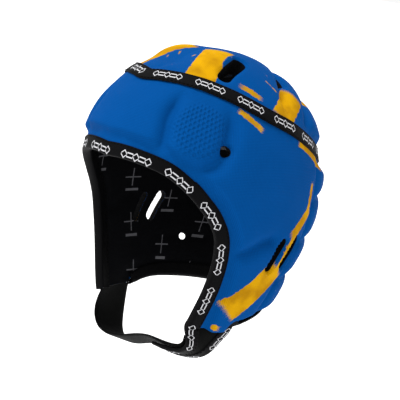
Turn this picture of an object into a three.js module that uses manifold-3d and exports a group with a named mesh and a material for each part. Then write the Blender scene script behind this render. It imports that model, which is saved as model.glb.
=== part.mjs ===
// Rugby scrum cap: a padded band round the head with two cheek flaps, a padded crown sewn
// to it, a lining, tape over the raw edges, and a strap and tab closed under the chin.
// Millimetres, +Z up. The wearer faces -Y, with the left ear towards +X.
// The origin lies inside the crown, where the top of the head sits.
import * as THREE from 'three';
import { mergeVertices } from 'three/addons/utils/BufferGeometryUtils.js';
import Module from 'manifold-3d';

const wasm = await Module();
wasm.setup();

// outside of the cap
const capWidth = 184; // over the ears
const capLength = 232; // from the forehead to the back of the head
const crownHeight = 104; // from the widest level up to the top of the crown
const flapDrop = 145; // from the widest level down to the level of the chin
const squareness = 2.03; // 2 is an ellipse seen from above, more is squarer

// layers
const padThickness = 10; // foam with its cloth, at the crest of a pad
const hemThickness = 4.4; // the same sandwich, pressed flat along an edge
const liningThickness = 1;
const clearance = 0.3; // between pieces that touch
const tapeEase = 0.7; // between a hem and the tape on it
const liningEase = 1; // between the lining and the tape's inner leg

// edge tape, folded round the edges and laid flat over the crown seam
const tapeWidth = 10;
const seamTapeWidth = 13;
const tapeThickness = 1;
const edgeHemWidth = 20; // pressed flat along the face and the neck
const seamHemWidth = 7.5; // pressed flat on each side of the crown seam
const padRise = 9; // from the hem of an open edge up to the crest of a pad
const seamRise = { front: 24, back: 10 }; // from the crown seam's hem up to the crest of a pad
const seamRiseTurns = { from: 95, to: 140 }; // degrees between which that rise grows shorter
const channelSteepness = 2.5; // how steeply the sides of a channel come up

// openings in the pads
const earSlotWidths = { front: 6, rear: 8 };
const earSlotLength = 28;
const earSlotLean = 26; // degrees from upright, the top towards the back
const templeVentDiameter = 10;
const backVentDiameter = 7;
const crownSlotWidth = 12;

// chin closure
const chinDrop = 36; // from the end of the flaps down to the bottom of the strap
const chinTilt = 25; // degrees, how far the strap leans back under the chin
const strapThickness = 2.5;
const strapWidthUnderChin = 28;
const tabReach = 78; // degrees round the chin curve
const tabTipWidth = 22;
const tabSlimness = 0.55; // share of the hem's thickness that the tab keeps
const tabSlimBy = 30; // degrees over which it grows that slim
const tabTapeStart = 1; // degrees, where the tape has left the flap
const tabTapeReach = 66; // degrees, where the tape ends on the tab
const strapStart = 22; // degrees, where the strap ends inside the tab
const strapNarrower = 3; // the strap is this much narrower than the tab over it
const chinSquareness = 3; // of the curve of the strap, 2 is an ellipse
const chinForward = 11; // how far the strap runs forward under the chin
const chinBlend = 35; // degrees over which the strap leaves a flap's bow

// how finely the cloth is faceted
const sideColumns = 20; // over the front quarter, forehead to ear
const backColumns = 10; // over the back quarter, ear to back of the head
const bandRows = 12;
const crownRows = 5;
const tapeStep = 13;
const crownTopRow = 0.9; // the last row before the top, as a share of the way up
const thinnedRows = { half: 0.25, quarter: 0.6 }; // where half and a quarter of the columns go on
const risePart = 0.45; // where the row halfway up a rise stands, as a share of that rise
const strapFacets = 2; // across the strap and the tab
const tabSections = 13;
const tabTapeSections = 10;
const strapSections = 20;
const roundEndParts = [0.08, 0.9]; // sections of a round end, as shares of its radius

const topLevel = padThickness + clearance + liningThickness;
const widestLevel = topLevel - crownHeight;
const halfTurn = Math.PI;
const halfRound = 180; // degrees
const blankOverrun = 0.03; // climb that the cloth runs on past the flaps before it is cut

// outline of the cap below its widest level, as shares of flapDrop, capWidth / 2 and
// capLength / 2
const outlineRows = [
  { drop: 0, width: 1, front: 1, back: 1 },
  { drop: 0.27, width: 1, front: 0.98, back: 0.91 },
  { drop: 0.52, width: 0.925, front: 0.945, back: 0.735 },
  { drop: 0.77, width: 0.8, front: 0.915, back: 0.57 },
  { drop: 1, width: 0.645, front: 0.845, back: 0.43 },
];

// Edges are drawn on the cap by turn, in degrees from the forehead, and by level: above the
// widest level a share of crownHeight, below it, with a minus, a share of flapDrop.
const crownSeamRows = [
  { turn: 0, level: 0.834 },
  { turn: 10, level: 0.844 },
  { turn: 20, level: 0.845 },
  { turn: 30, level: 0.84 },
  { turn: 45, level: 0.814 },
  { turn: 55, level: 0.782 },
  { turn: 65, level: 0.739 },
  { turn: 76, level: 0.669 },
  { turn: 86, level: 0.596 },
  { turn: 98, level: 0.512 },
  { turn: 108, level: 0.437 },
  { turn: 119, level: 0.36 },
  { turn: 130, level: 0.292 },
  { turn: 145, level: 0.225 },
  { turn: 160, level: 0.185 },
  { turn: 180, level: 0.17 },
];
const faceEdgeRows = [
  { turn: 0, level: 0.183 },
  { turn: 9, level: 0.19 },
  { turn: 18, level: 0.181 },
  { turn: 26, level: 0.16 },
  { turn: 33, level: 0.132 },
  { turn: 38, level: 0.1 },
  { turn: 42, level: 0.06 },
  { turn: 46, level: 0.012 },
  { turn: 50.5, level: -0.035 },
  { turn: 54.5, level: -0.083 },
  { turn: 58.2, level: -0.133 },
  { turn: 61, level: -0.187 },
  { turn: 63, level: -0.24 },
  { turn: 64.3, level: -0.31 },
  { turn: 64.9, level: -0.41 },
  { turn: 64.7, level: -0.51 },
  { turn: 63.9, level: -0.62 },
  { turn: 62.6, level: -0.73 },
  { turn: 61.5, level: -0.81 },
];
const neckEdgeRows = [
  { turn: 86, level: -0.81 },
  { turn: 90, level: -0.8 },
  { turn: 97, level: -0.785 },
  { turn: 110, level: -0.765 },
  { turn: 128, level: -0.755 },
  { turn: 152, level: -0.745 },
  { turn: 180, level: -0.735 },
];

// channels pressed between the pads of the band: width and depth as shares of padThickness
const bandChannels = [
  { name: 'forehead', width: 0.95, depth: 0.42,
    path: [[36, 0.78], [32.8, 0.66], [31.2, 0.53], [31.8, 0.4], [32.5, 0.3]] },
  { name: 'temple', width: 1.1, depth: 0.45,
    path: [[61, 0.74], [63.2, 0.64], [63.8, 0.54], [63.5, 0.43], [62.3, 0.333], [59, 0.24],
      [53, 0.185], [46, 0.18]] },
  { name: 'cheek', width: 0.95, depth: 0.4,
    path: [[70, -0.35], [75, -0.335], [80, -0.31], [85, -0.275], [89.5, -0.26]] },
  { name: 'behind ear', width: 0.9, depth: 0.4,
    path: [[121, 0.22], [119, -0.07], [116, -0.31], [107, -0.53], [101, -0.71]] },
  { name: 'upper back', width: 0.9, depth: 0.4,
    path: [[119, -0.07], [135, -0.06], [158, -0.05], [180, -0.05]] },
  { name: 'middle back', width: 0.9, depth: 0.4,
    path: [[116, -0.31], [135, -0.3], [158, -0.29], [180, -0.29]] },
  { name: 'lower back', width: 0.9, depth: 0.4,
    path: [[107, -0.53], [130, -0.52], [158, -0.51], [180, -0.51]] },
  { name: 'back', width: 0.9, depth: 0.4,
    path: [[152, 0.1], [151, -0.2], [150, -0.45], [149, -0.69]] },
];

// channels across the crown seen from above: x as a share of capWidth / 2, y of capLength / 2
const crownChannels = [
  { name: 'second block', width: 0.95, depth: 0.42,
    path: [[0.88, 0.1], [0.69, 0.19], [0.53, 0.27], [0.37, 0.36], [0.16, 0.42]] },
  { name: 'third block', width: 0.95, depth: 0.4,
    path: [[0.9, 0.34], [0.74, 0.42], [0.54, 0.54], [0.3, 0.64], [0, 0.67]] },
  { name: 'front dimple', width: 0.8, depth: 0.35,
    path: [[0, -0.7], [0, -0.6], [0, -0.52]] },
];
// slots right through the crown, drawn the same way
const crownSlots = [
  { name: 'front', path: [[0.49, -0.32], [0.43, -0.2], [0.33, -0.03]] },
  { name: 'back', path: [[0.5, 0.28], [0.37, 0.35], [0.25, 0.39]] },
];

// slots and round vents through the band, where their middles lie on the cap
const earSlots = [
  { width: earSlotWidths.front, turn: 94.5, level: -0.347 },
  { width: earSlotWidths.rear, turn: 105.2, level: -0.342 },
];
const vents = [
  { name: 'temple', diameter: templeVentDiameter, turn: 62.3, level: 0.333 },
  { name: 'back', diameter: backVentDiameter, turn: 128, level: -0.53 },
];
// where the crown's pads are plumper, reach and height as shares of padThickness
const crownBlocks = [
  { name: 'beside the front slot', at: [0.24, -0.2], reach: 2.6, height: 0.35 },
];

const colours = {
  shell: 0x0b55b5,
  lining: 0x17181b,
  tape: 0x0d0d10,
  strap: 0x202422,
};

const radians = (degrees) => degrees * halfTurn / halfRound;
const degreesOf = (angle) => angle * halfRound / halfTurn;
const signedPower = (value, power) => Math.sign(value) * Math.abs(value) ** power;

function smoothStep(value) {
  const t = Math.min(Math.max(value, 0), 1);
  return t * t * (3 - 2 * t);
}

// one column of a table at a given key, on a smooth line through the rows
function readTable(rows, keyName, columnName, key) {
  const last = rows.length - 1;
  let i = rows.findIndex((row) => row[keyName] > key) - 1;
  if (i < 0) i = key <= rows[0][keyName] ? 0 : last - 1;
  const slope = (j) => {
    if (j === 0 || j === last) return 0;
    const [a, b] = [rows[j - 1], rows[j + 1]];
    return (b[columnName] - a[columnName]) / (b[keyName] - a[keyName]);
  };
  const step = rows[i + 1][keyName] - rows[i][keyName];
  const t = Math.min(Math.max((key - rows[i][keyName]) / step, 0), 1);
  const a = rows[i][columnName];
  const b = rows[i + 1][columnName];
  return a + (b - a) * t * t * (3 - 2 * t)
    + step * (slope(i) * t * (1 - t) ** 2 - slope(i + 1) * t * t * (1 - t));
}

// Climb is 0 at the widest level, 1 at the top of the crown and -1 at the level of the chin.
function climbOfLevel(level) {
  return level > 0 ? Math.asin(level) * 2 / Math.PI : level;
}

// a point of the pads' crest surface, by turn in radians and climb
function onForm(turn, climb) {
  const drop = Math.min(Math.max(-climb, 0), 1);
  const narrowing = climb > 0 ? Math.cos(climb * Math.PI / 2) : 1;
  const halfWidth = capWidth / 2 * readTable(outlineRows, 'drop', 'width', drop) * narrowing;
  const end = Math.cos(turn) > 0 ? 'front' : 'back';
  const halfLength = capLength / 2 * readTable(outlineRows, 'drop', end, drop) * narrowing;
  const height = climb > 0 ? crownHeight * Math.sin(climb * Math.PI / 2) : climb * flapDrop;
  return new THREE.Vector3(
    halfWidth * signedPower(Math.sin(turn), 2 / squareness),
    -halfLength * signedPower(Math.cos(turn), 2 / squareness),
    widestLevel + height,
  );
}

function formNormal(turn, climb) {
  if (climb > 0.995) return new THREE.Vector3(0, 0, 1);
  const step = 0.004;
  const across = onForm(turn + step, climb).sub(onForm(turn - step, climb));
  const up = onForm(turn, climb + step).sub(onForm(turn, climb - step));
  return across.cross(up).normalize();
}

function onSkin(turn, climb, lift) {
  return onForm(turn, climb).addScaledVector(formNormal(turn, climb), lift);
}

// turn and climb of the crown point that is seen at x, y from above
function fromAbove([x, y]) {
  const reach = (Math.abs(x) ** squareness + Math.abs(y) ** squareness) ** (1 / squareness);
  const turn = Math.atan2(
    signedPower(x / reach, squareness / 2),
    -signedPower(y / reach, squareness / 2),
  );
  return { turn, climb: Math.acos(Math.min(reach, 1)) * 2 / Math.PI };
}

// lifts of the four faces of the sandwich, measured from the crests, at a hem
const hemOutside = hemThickness - padThickness;
const liningInside = -padThickness - clearance - liningThickness;
const hemMiddle = (hemOutside + liningInside) / 2;
const hemHalf = (hemOutside - liningInside) / 2;

// an edge as points and outward normals, at equal steps along it
function edgeStations(rows, mirrored, step) {
  const right = mirrored ? rows.slice(1).map((row) => ({ turn: -row.turn, level: row.level })) : [];
  const marks = [...right.reverse(), ...rows]
    .map((row) => new THREE.Vector2(radians(row.turn), climbOfLevel(row.level)));
  const fine = new THREE.SplineCurve(marks).getPoints(marks.length * 12);
  const places = fine.map((mark) => onSkin(mark.x, mark.y, hemMiddle));
  const along = [0];
  for (let i = 1; i < places.length; i += 1) {
    along.push(along[i - 1] + places[i].distanceTo(places[i - 1]));
  }
  const length = along[along.length - 1];
  const count = Math.max(Math.round(length / step), 4);
  const stations = [];
  let i = 0;
  for (let k = 0; k <= count; k += 1) {
    const wanted = length * k / count;
    while (i < along.length - 2 && along[i + 1] < wanted) i += 1;
    const t = (wanted - along[i]) / (along[i + 1] - along[i]);
    const mark = fine[i].clone().lerp(fine[i + 1], t);
    stations.push(skinStation(mark.x, mark.y));
  }
  return stations;
}

// a place on an edge of the cloth, which knows how to find the skin beside it
function skinStation(turn, climb) {
  return {
    turn,
    climb,
    point: onSkin(turn, climb, hemMiddle),
    normal: formNormal(turn, climb),
    place: (inward, away, lift) => alongSkin({ turn, climb }, inward, away, lift),
  };
}

const faceStations = edgeStations(faceEdgeRows, true, tapeStep);
const neckHalf = edgeStations(neckEdgeRows, false, tapeStep);
const neckRight = neckHalf.slice(0, -1).reverse()
  .map(({ turn, climb }) => skinStation(-turn, climb));
const neckStations = [...neckHalf, ...neckRight];

const seamClimb = (turn) => climbOfLevel(
  readTable(crownSeamRows, 'turn', 'level', degreesOf(Math.abs(turn))),
);

// shortest way from a point to a chain of points
function distanceTo(chain, point) {
  const nearest = new THREE.Vector3();
  const line = new THREE.Line3();
  let best = Infinity;
  for (let i = 0; i + 1 < chain.length; i += 1) {
    line.set(chain[i], chain[i + 1]).closestPointToPoint(point, true, nearest);
    best = Math.min(best, nearest.distanceTo(point));
  }
  return best;
}

function channelChains(channels, toMark) {
  return channels.map(({ width, depth, path }) => {
    const marks = path.map(toMark).map(({ turn, climb }) => new THREE.Vector2(turn, climb));
    const chain = new THREE.SplineCurve(marks).getPoints(path.length * 3)
      .map((mark) => onForm(mark.x, mark.y));
    return { chain, width: width * padThickness, depth: depth * padThickness };
  });
}
const fromRow = ([turn, level]) => ({ turn: radians(turn), climb: climbOfLevel(level) });
const bandChains = channelChains(bandChannels, fromRow);
const crownChains = channelChains(crownChannels, fromAbove);
const crownBumps = crownBlocks.map(({ at, reach, height }) => {
  const { turn, climb } = fromAbove(at);
  return {
    middle: onForm(turn, climb), reach: reach * padThickness, height: height * padThickness,
  };
});
const openEdges = [faceStations, neckStations]
  .map((stations) => stations.map(({ turn, climb }) => onForm(turn, climb)));
const seamChain = Array.from({ length: 91 }, (_, i) => {
  const turn = halfTurn * i / 90;
  return onForm(turn, seamClimb(turn));
});

function seamRiseAt(turn) {
  const { from, to } = seamRiseTurns;
  const back = smoothStep((degreesOf(Math.abs(turn)) - from) / (to - from));
  return seamRise.front + (seamRise.back - seamRise.front) * back;
}

// 0 on a hem, 1 on the pads: how far the foam has come up to its crest
function fullness(side, turn) {
  const edge = Math.min(...openEdges.map((chain) => distanceTo(chain, side)));
  const seam = distanceTo(seamChain, side);
  return Math.min(
    smoothStep((edge - edgeHemWidth) / padRise),
    smoothStep((seam - seamHemWidth) / seamRiseAt(turn)),
  );
}

function outerLift(turn, climb, { chains, blocks }) {
  const point = onForm(turn, climb);
  const side = new THREE.Vector3(Math.abs(point.x), point.y, point.z);
  const full = fullness(side, turn);
  let lift = hemOutside * (1 - full);
  for (const { chain, width, depth } of chains) {
    const away = distanceTo(chain, side) / width;
    lift -= full * depth * Math.exp(-channelSteepness * away * away);
  }
  for (const { middle, reach, height } of blocks) {
    const away = middle.distanceTo(side) / reach;
    lift += full * height * Math.exp(-away * away);
  }
  return Math.max(lift, hemOutside);
}

const padsStop = 2;
const poleRow = { stop: padsStop, share: 1 };

// A shell between an outer and an inner grid. A grid is { rings, place }: each ring is
// { row, turns }, from the seam downwards for a band, or from the seam up to its pole.
function shell(outer, inner, pole) {
  const positions = [];
  const index = [];
  const addRings = ({ rings, place }) => rings.map(({ row, turns }) => ({
    turns,
    marks: turns.map((turn) => positions.push(...place(turn, row).toArray()) / 3 - 1),
  }));
  // joins two rings whose turns rise from the same start, going round each as they come
  const zip = (ringA, ringB, flip) => {
    const turnAt = ({ turns }, k) => (k < turns.length ? turns[k] : turns[0] + 2 * halfTurn);
    const markAt = ({ marks }, k) => marks[k % marks.length];
    let [i, j] = [0, 0];
    while (i < ringA.marks.length || j < ringB.marks.length) {
      const takeA = j >= ringB.marks.length
        || (i < ringA.marks.length && turnAt(ringA, i + 1) <= turnAt(ringB, j + 1) + 1e-9);
      const [a, b] = [markAt(ringA, i), markAt(ringB, j)];
      const next = takeA ? markAt(ringA, i + 1) : markAt(ringB, j + 1);
      index.push(...(flip ? [a, b, next] : [b, a, next]));
      if (takeA) i += 1;
      else j += 1;
    }
  };
  const close = ({ turns, marks }, place, flip) => {
    const tip = positions.push(...place(turns[0], poleRow).toArray()) / 3 - 1;
    marks.forEach((a, i) => {
      const b = marks[(i + 1) % marks.length];
      index.push(...(flip ? [a, b, tip] : [a, tip, b]));
    });
  };
  const outerRings = addRings(outer);
  const innerRings = addRings(inner);
  outerRings.slice(1).forEach((ring, j) => zip(outerRings[j], ring, true));
  innerRings.slice(1).forEach((ring, j) => zip(innerRings[j], ring, false));
  zip(outerRings[0], innerRings[0], false);
  const [lastOuter, lastInner] = [outerRings, innerRings].map((rings) => rings[rings.length - 1]);
  if (pole) {
    close(lastOuter, outer.place, false);
    close(lastInner, inner.place, true);
  } else {
    zip(lastOuter, lastInner, true);
  }
  return solidOf(positions, index);
}

// a solid from points and triangles, turned right side out
function solidOf(positions, index) {
  let volume = 0;
  const at = (k) => new THREE.Vector3().fromArray(positions, index[k] * 3);
  for (let k = 0; k < index.length; k += 3) {
    volume += at(k).dot(at(k + 1).cross(at(k + 2)));
  }
  const faces = volume < 0
    ? index.map((_, k) => index[k - (k % 3) + 2 - (k % 3)])
    : index;
  let geometry = new THREE.BufferGeometry();
  geometry.setAttribute('position', new THREE.Float32BufferAttribute(positions, 3));
  geometry.setIndex(faces);
  geometry = mergeVertices(geometry, 1e-4);
  return new wasm.Manifold(new wasm.Mesh({
    numProp: 3,
    vertProperties: new Float32Array(geometry.attributes.position.array),
    triVerts: new Uint32Array(geometry.index.array),
  }));
}

// a solid through a row of sections with the same number of corners, closed on itself or
// with flat ends
function loft(sections, closed) {
  const count = sections[0].length;
  const positions = sections.flat().flatMap((corner) => corner.toArray());
  const index = [];
  const steps = closed ? sections.length : sections.length - 1;
  for (let j = 0; j < steps; j += 1) {
    const next = ((j + 1) % sections.length) * count;
    for (let i = 0; i < count; i += 1) {
      const k = (i + 1) % count;
      const [a, b, c, d] = [j * count + i, j * count + k, next + k, next + i];
      index.push(a, b, d, b, c, d);
    }
  }
  if (!closed) {
    const [first, last] = [sections[0], sections[sections.length - 1]];
    const start = (sections.length - 1) * count;
    for (const [a, b, c] of endFaces(first)) index.push(c, b, a);
    for (const [a, b, c] of endFaces(last)) index.push(start + a, start + b, start + c);
  }
  return solidOf(positions, index);
}

// triangles over one flat section, which may be a hollow outline such as a U
function endFaces(section) {
  const centre = section.reduce((sum, corner) => sum.add(corner), new THREE.Vector3())
    .divideScalar(section.length);
  const normal = new THREE.Vector3();
  section.forEach((corner, i) => {
    const next = section[(i + 1) % section.length];
    normal.add(corner.clone().sub(centre).cross(next.clone().sub(centre)));
  });
  normal.normalize();
  const u = section[1].clone().sub(section[0]).normalize();
  const v = normal.clone().cross(u);
  const flat = section.map((corner) => {
    const arm = corner.clone().sub(centre);
    return new THREE.Vector2(arm.dot(u), arm.dot(v));
  });
  return THREE.ShapeUtils.triangulateShape(flat, []);
}

// a point of the skin some way from a turn and climb, at a lift from the hem's middle
function alongSkin({ turn, climb }, direction, away, lift) {
  const step = 0.002;
  const across = onForm(turn + step, climb).sub(onForm(turn - step, climb)).divideScalar(2 * step);
  const up = onForm(turn, climb + step).sub(onForm(turn, climb - step)).divideScalar(2 * step);
  const [aa, au, uu] = [across.dot(across), across.dot(up), up.dot(up)];
  const [wa, wu] = [direction.dot(across) * away, direction.dot(up) * away];
  const square = aa * uu - au * au;
  const [turnStep, climbStep] = [(wa * uu - wu * au) / square, (wu * aa - wa * au) / square];
  return onSkin(turn + turnStep, climb + climbStep, hemMiddle + lift);
}

// Sections of an edge trim: a profile of [inward, out] corners, carried along stations.
// Inward runs from the edge into the cloth, out runs along the outward normal.
function trimSections(stations, profile, closed) {
  return stations.map((station, i) => {
    const last = stations.length - 1;
    const before = stations[closed ? (i + last) % stations.length : Math.max(i - 1, 0)].point;
    const after = stations[closed ? (i + 1) % stations.length : Math.min(i + 1, last)].point;
    const along = after.clone().sub(before).normalize();
    const inward = station.normal.clone().cross(along).normalize();
    return profile.map(([away, lift]) => station.place(inward, away, lift));
  });
}

const band = (low, high, bottom, top) => [[low, bottom], [high, bottom], [high, top], [low, top]];

// tape folded round an edge: a U whose legs lie on both sides of the hem
const outerLeg = hemHalf + tapeEase;
const innerLeg = -hemHalf - liningEase;
const foldedTape = [
  [-clearance - tapeThickness, innerLeg - tapeThickness], [tapeWidth, innerLeg - tapeThickness],
  [tapeWidth, innerLeg], [-clearance, innerLeg],
  [-clearance, outerLeg], [tapeWidth, outerLeg],
  [tapeWidth, outerLeg + tapeThickness], [-clearance - tapeThickness, outerLeg + tapeThickness],
];
const clearOff = padThickness * 3; // a cut reaches this far in and out of the cloth
// the points that the plug through the face and the neck is drawn to
const plugInside = new THREE.Vector3(0, 0, widestLevel - flapDrop * 0.15);
const plugOutside = new THREE.Vector3(0, -capLength * 1.1, widestLevel - flapDrop * 2.5);

// The chin curve runs from the left flap at 0 degrees to the right flap at 180. Across it,
// share 0 is the front edge and share 1 the rear edge.
const flapEnd = faceEdgeRows[faceEdgeRows.length - 1];
const flapClimb = climbOfLevel(flapEnd.level);
const flapTurns = [radians(flapEnd.turn), radians(neckEdgeRows[0].turn)];
const flapTurn = (share) => flapTurns[0] + (flapTurns[1] - flapTurns[0]) * share;
const flapCorners = flapTurns.map((turn) => onSkin(turn, flapClimb, hemMiddle));
const flapWidth = flapCorners[0].distanceTo(flapCorners[1]);
const flapMiddle = flapCorners[0].clone().lerp(flapCorners[1], 0.5);

// middle line of the strap: half a superellipse that also runs forward under the chin
function chinMiddle(degrees) {
  const [across, down] = [Math.cos(radians(degrees)), Math.sin(radians(degrees))];
  const power = chinSquareness;
  const reach = (Math.abs(across) ** power + Math.abs(down) ** power) ** (-1 / power);
  return new THREE.Vector3(
    flapMiddle.x * across * reach,
    flapMiddle.y - chinForward * down,
    flapMiddle.z - chinDrop * down * reach,
  );
}

// a point of the strap's surface, whose width and lift are given
function onChin(degrees, share, width, lift) {
  const lean = radians(chinTilt) * Math.sin(radians(degrees));
  const across = new THREE.Vector3(0, Math.cos(lean), -Math.sin(lean));
  const along = chinMiddle(degrees + 0.5).sub(chinMiddle(degrees - 0.5)).setY(0);
  const normal = along.cross(across).normalize();
  const point = chinMiddle(degrees).addScaledVector(across, (share - 0.5) * width);
  // near a flap the strap takes over the flap's own edges and bow
  const left = degrees < halfRound / 2;
  const mirror = new THREE.Vector3(left ? 1 : -1, 1, 1);
  const flapShare = 1 - smoothStep((left ? degrees : halfRound - degrees) / chinBlend);
  const start = onSkin(flapTurn(share), flapClimb, hemMiddle).sub(flapMiddle);
  start.y -= (share - 0.5) * flapWidth;
  point.addScaledVector(start.multiply(mirror), flapShare);
  const flapNormal = formNormal(flapTurn(share), flapClimb).multiply(mirror);
  normal.lerp(flapNormal, flapShare).normalize();
  return point.addScaledVector(normal, lift);
}

const endGap = degreesOf(clearance / chinDrop); // keeps the strap off a flap's end
const degreesRange = (from, to, count) => Array.from({ length: count + 1 },
  (_, i) => from + (to - from) * i / count);

const tabWidthAt = (degrees) => {
  const taper = smoothStep(degrees / tabReach);
  return flapWidth + (tabTipWidth - flapWidth) * taper;
};
const tabSlimmingAt = (degrees) => 1 - (1 - tabSlimness) * smoothStep(degrees / tabSlimBy);
const strapWidthAt = (degrees) => {
  const narrowing = Math.sin(radians(degrees)) ** 2;
  return flapWidth + (strapWidthUnderChin - flapWidth) * narrowing - strapNarrower;
};

// a section of a strap, bowed like the flap that it starts from
function strapSection(degrees, width, half, inset) {
  const shares = degreesRange(0, 1, strapFacets);
  return [
    ...shares.map((share) => onChin(degrees, share, width, -half - inset)),
    ...shares.reverse().map((share) => onChin(degrees, share, width, half - inset)),
  ];
}

// the tab: outside, as thick as the hem and lining that it carries on from
function makeChinTab() {
  const rows = degreesRange(endGap, tabReach, tabSections);
  return loft(rows.map((degrees) => {
    const half = hemHalf * tabSlimmingAt(degrees);
    return strapSection(degrees, tabWidthAt(degrees), half, 0);
  }), false);
}

// the strap: from the right flap under the chin and up inside the tab
function makeChinStrap() {
  const tabInside = (degrees) => (tapeThickness - innerLeg) * tabSlimmingAt(degrees)
    + clearance + strapThickness / 2;
  const rows = degreesRange(strapStart, halfRound - endGap, strapSections);
  const sections = rows.map((degrees) => {
    const inset = tabInside(degrees) * (1 - smoothStep((degrees - tabReach) / chinBlend));
    return strapSection(degrees, strapWidthAt(degrees), strapThickness / 2, inset);
  });
  return loft(sections, false);
}

// stations of the tape: along the cloth, then down the edges of the tab on the left
function tabStations(edgeShare) {
  return degreesRange(tabTapeStart, tabTapeReach, tabTapeSections).map((degrees) => {
    const width = tabWidthAt(degrees);
    const slimming = tabSlimmingAt(degrees);
    const point = onChin(degrees, edgeShare, width, 0);
    const inwards = edgeShare > 0.5 ? -1 : 1;
    return {
      point,
      normal: onChin(degrees, edgeShare, width, 1).sub(point),
      place: (_, away, lift) => {
        const share = edgeShare + inwards * away / width;
        return onChin(degrees, share, width, lift * slimming);
      },
    };
  });
}
const faceTapeStations = [...faceStations, ...tabStations(0)];
const neckTapeStations = [...tabStations(1).reverse(), ...neckStations];

// the face and neck openings as one plug: a wall square to the cloth along its whole edge,
// drawn to one point inside the head and to one point in front of and below the chin
function makeOpeningPlug() {
  const leftFlapEnd = degreesRange(0, 1, strapFacets).slice(1, -1)
    .map((share) => ({ turn: flapTurn(share), climb: flapClimb }));
  const rightFlapEnd = leftFlapEnd.map(({ turn, climb }) => ({ turn: -turn, climb })).reverse();
  const loop = [...faceStations, ...leftFlapEnd, ...neckStations, ...rightFlapEnd];
  // the wall stays short where it cuts the hem, and flares out beyond it
  const lifts = [liningInside - clearance, hemOutside + clearance, clearOff];
  const positions = loop.flatMap(({ turn, climb }) => lifts
    .flatMap((lift) => onSkin(turn, climb, lift).toArray()));
  const insidePoint = positions.length / 3;
  positions.push(...plugInside.toArray(), ...plugOutside.toArray());
  const index = [];
  loop.forEach((_, i) => {
    const here = i * lifts.length;
    const next = ((i + 1) % loop.length) * lifts.length;
    for (let k = 0; k + 1 < lifts.length; k += 1) {
      const [a, b, c, d] = [here + k, here + k + 1, next + k + 1, next + k];
      index.push(a, b, d, b, c, d);
    }
    const top = lifts.length - 1;
    index.push(here, next, insidePoint);
    index.push(here + top, insidePoint + 1, next + top);
  });
  return solidOf(positions, index);
}

// A bar with round ends, square to the cloth, along a path of turns and climbs. Its sections
// stand where the round of an end begins and close to its tip.
function slotBar(path, width) {
  const marks = path.map(({ turn, climb }) => new THREE.Vector2(turn, climb));
  const fine = new THREE.SplineCurve(marks).getPoints(40);
  const along = [0];
  for (let i = 1; i < fine.length; i += 1) {
    const step = onForm(fine[i].x, fine[i].y).distanceTo(onForm(fine[i - 1].x, fine[i - 1].y));
    along.push(along[i - 1] + step);
  }
  const length = along[along.length - 1];
  const round = Math.min(width / 2, length / 2);
  const inEnd = roundEndParts.map((share) => share * round);
  const stops = [...inEnd, length / 2, ...inEnd.map((away) => length - away).reverse()]
    .filter((stop, i, all) => i === 0 || stop - all[i - 1] > 1e-6);
  const sections = stops.map((stop) => {
    const i = Math.min(Math.max(along.findIndex((reach) => reach > stop) - 1, 0), fine.length - 2);
    const t = (stop - along[i]) / (along[i + 1] - along[i]);
    const mark = fine[i].clone().lerp(fine[i + 1], t);
    const ahead = onForm(fine[i + 1].x, fine[i + 1].y).sub(onForm(fine[i].x, fine[i].y));
    const normal = formNormal(mark.x, mark.y);
    const side = normal.clone().cross(ahead).normalize();
    const fromTip = Math.min(stop, length - stop, round);
    const half = width / 2 * Math.sqrt(1 - (1 - fromTip / round) ** 2);
    const middle = onForm(mark.x, mark.y);
    return [[-half, -clearOff], [half, -clearOff], [half, clearOff], [-half, clearOff]]
      .map(([a, out]) => middle.clone().addScaledVector(side, a).addScaledVector(normal, out));
  });
  return loft(sections, false);
}

const onBothSides = (solid) => solid.add(solid.mirror([1, 0, 0]));

// ends of a slot through the band, from its middle, its length and its lean
function slotEnds({ turn, level }, length, lean) {
  const middle = { turn: radians(turn), climb: climbOfLevel(level) };
  const step = 0.002;
  const across = onForm(middle.turn + step, middle.climb)
    .sub(onForm(middle.turn - step, middle.climb)).length() / (2 * step);
  const up = onForm(middle.turn, middle.climb + step)
    .sub(onForm(middle.turn, middle.climb - step)).length() / (2 * step);
  const turnReach = Math.sin(radians(lean)) * length / 2 / across;
  const climbReach = Math.cos(radians(lean)) * length / 2 / up;
  return [-1, 0, 1].map((way) => ({
    turn: middle.turn + way * turnReach,
    climb: middle.climb + way * climbReach,
  }));
}

function makeBandOpenings() {
  const cuts = [
    ...earSlots.map((slot) => slotBar(slotEnds(slot, earSlotLength, earSlotLean), slot.width)),
    ...vents.map((vent) => slotBar(slotEnds(vent, vent.diameter, 0), vent.diameter)),
  ];
  return onBothSides(cuts.reduce((sum, cut) => sum.add(cut)));
}

function makeCrownOpenings() {
  const cuts = crownSlots.map(({ path }) => slotBar(path.map(fromAbove), crownSlotWidth));
  return onBothSides(cuts.reduce((sum, cut) => sum.add(cut)));
}

const climbPerLength = 2 / (Math.PI * crownHeight);
const seamGapClimb = clearance * climbPerLength;

// turns of the band's columns, closer together over the front half
const bandTurns = [
  ...degreesRange(-180, -90, backColumns).slice(0, -1),
  ...degreesRange(-90, 90, sideColumns * 2).slice(0, -1),
  ...degreesRange(90, 180, backColumns).slice(0, -1),
].map(radians);

// Rows of the cloth: up to padsStop they are stops, 0 on the seam, 1 at the end of its hem
// and 2 where the pads have risen, beyond it shares of the rest of the way.
const bottomClimb = flapClimb - blankOverrun;
const hemStops = [0, 1, 1 + risePart, padsStop];
const hemRows = hemStops.map((stop) => ({ stop }));
const innerHemRows = [{ stop: 0 }, { stop: padsStop }];
const padRows = (end, count) => degreesRange(0, end, count).slice(1)
  .map((share) => ({ stop: padsStop, share }));
const bandPadRows = padRows(1, bandRows);
const crownPadRows = padRows(crownTopRow, crownRows);

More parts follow.
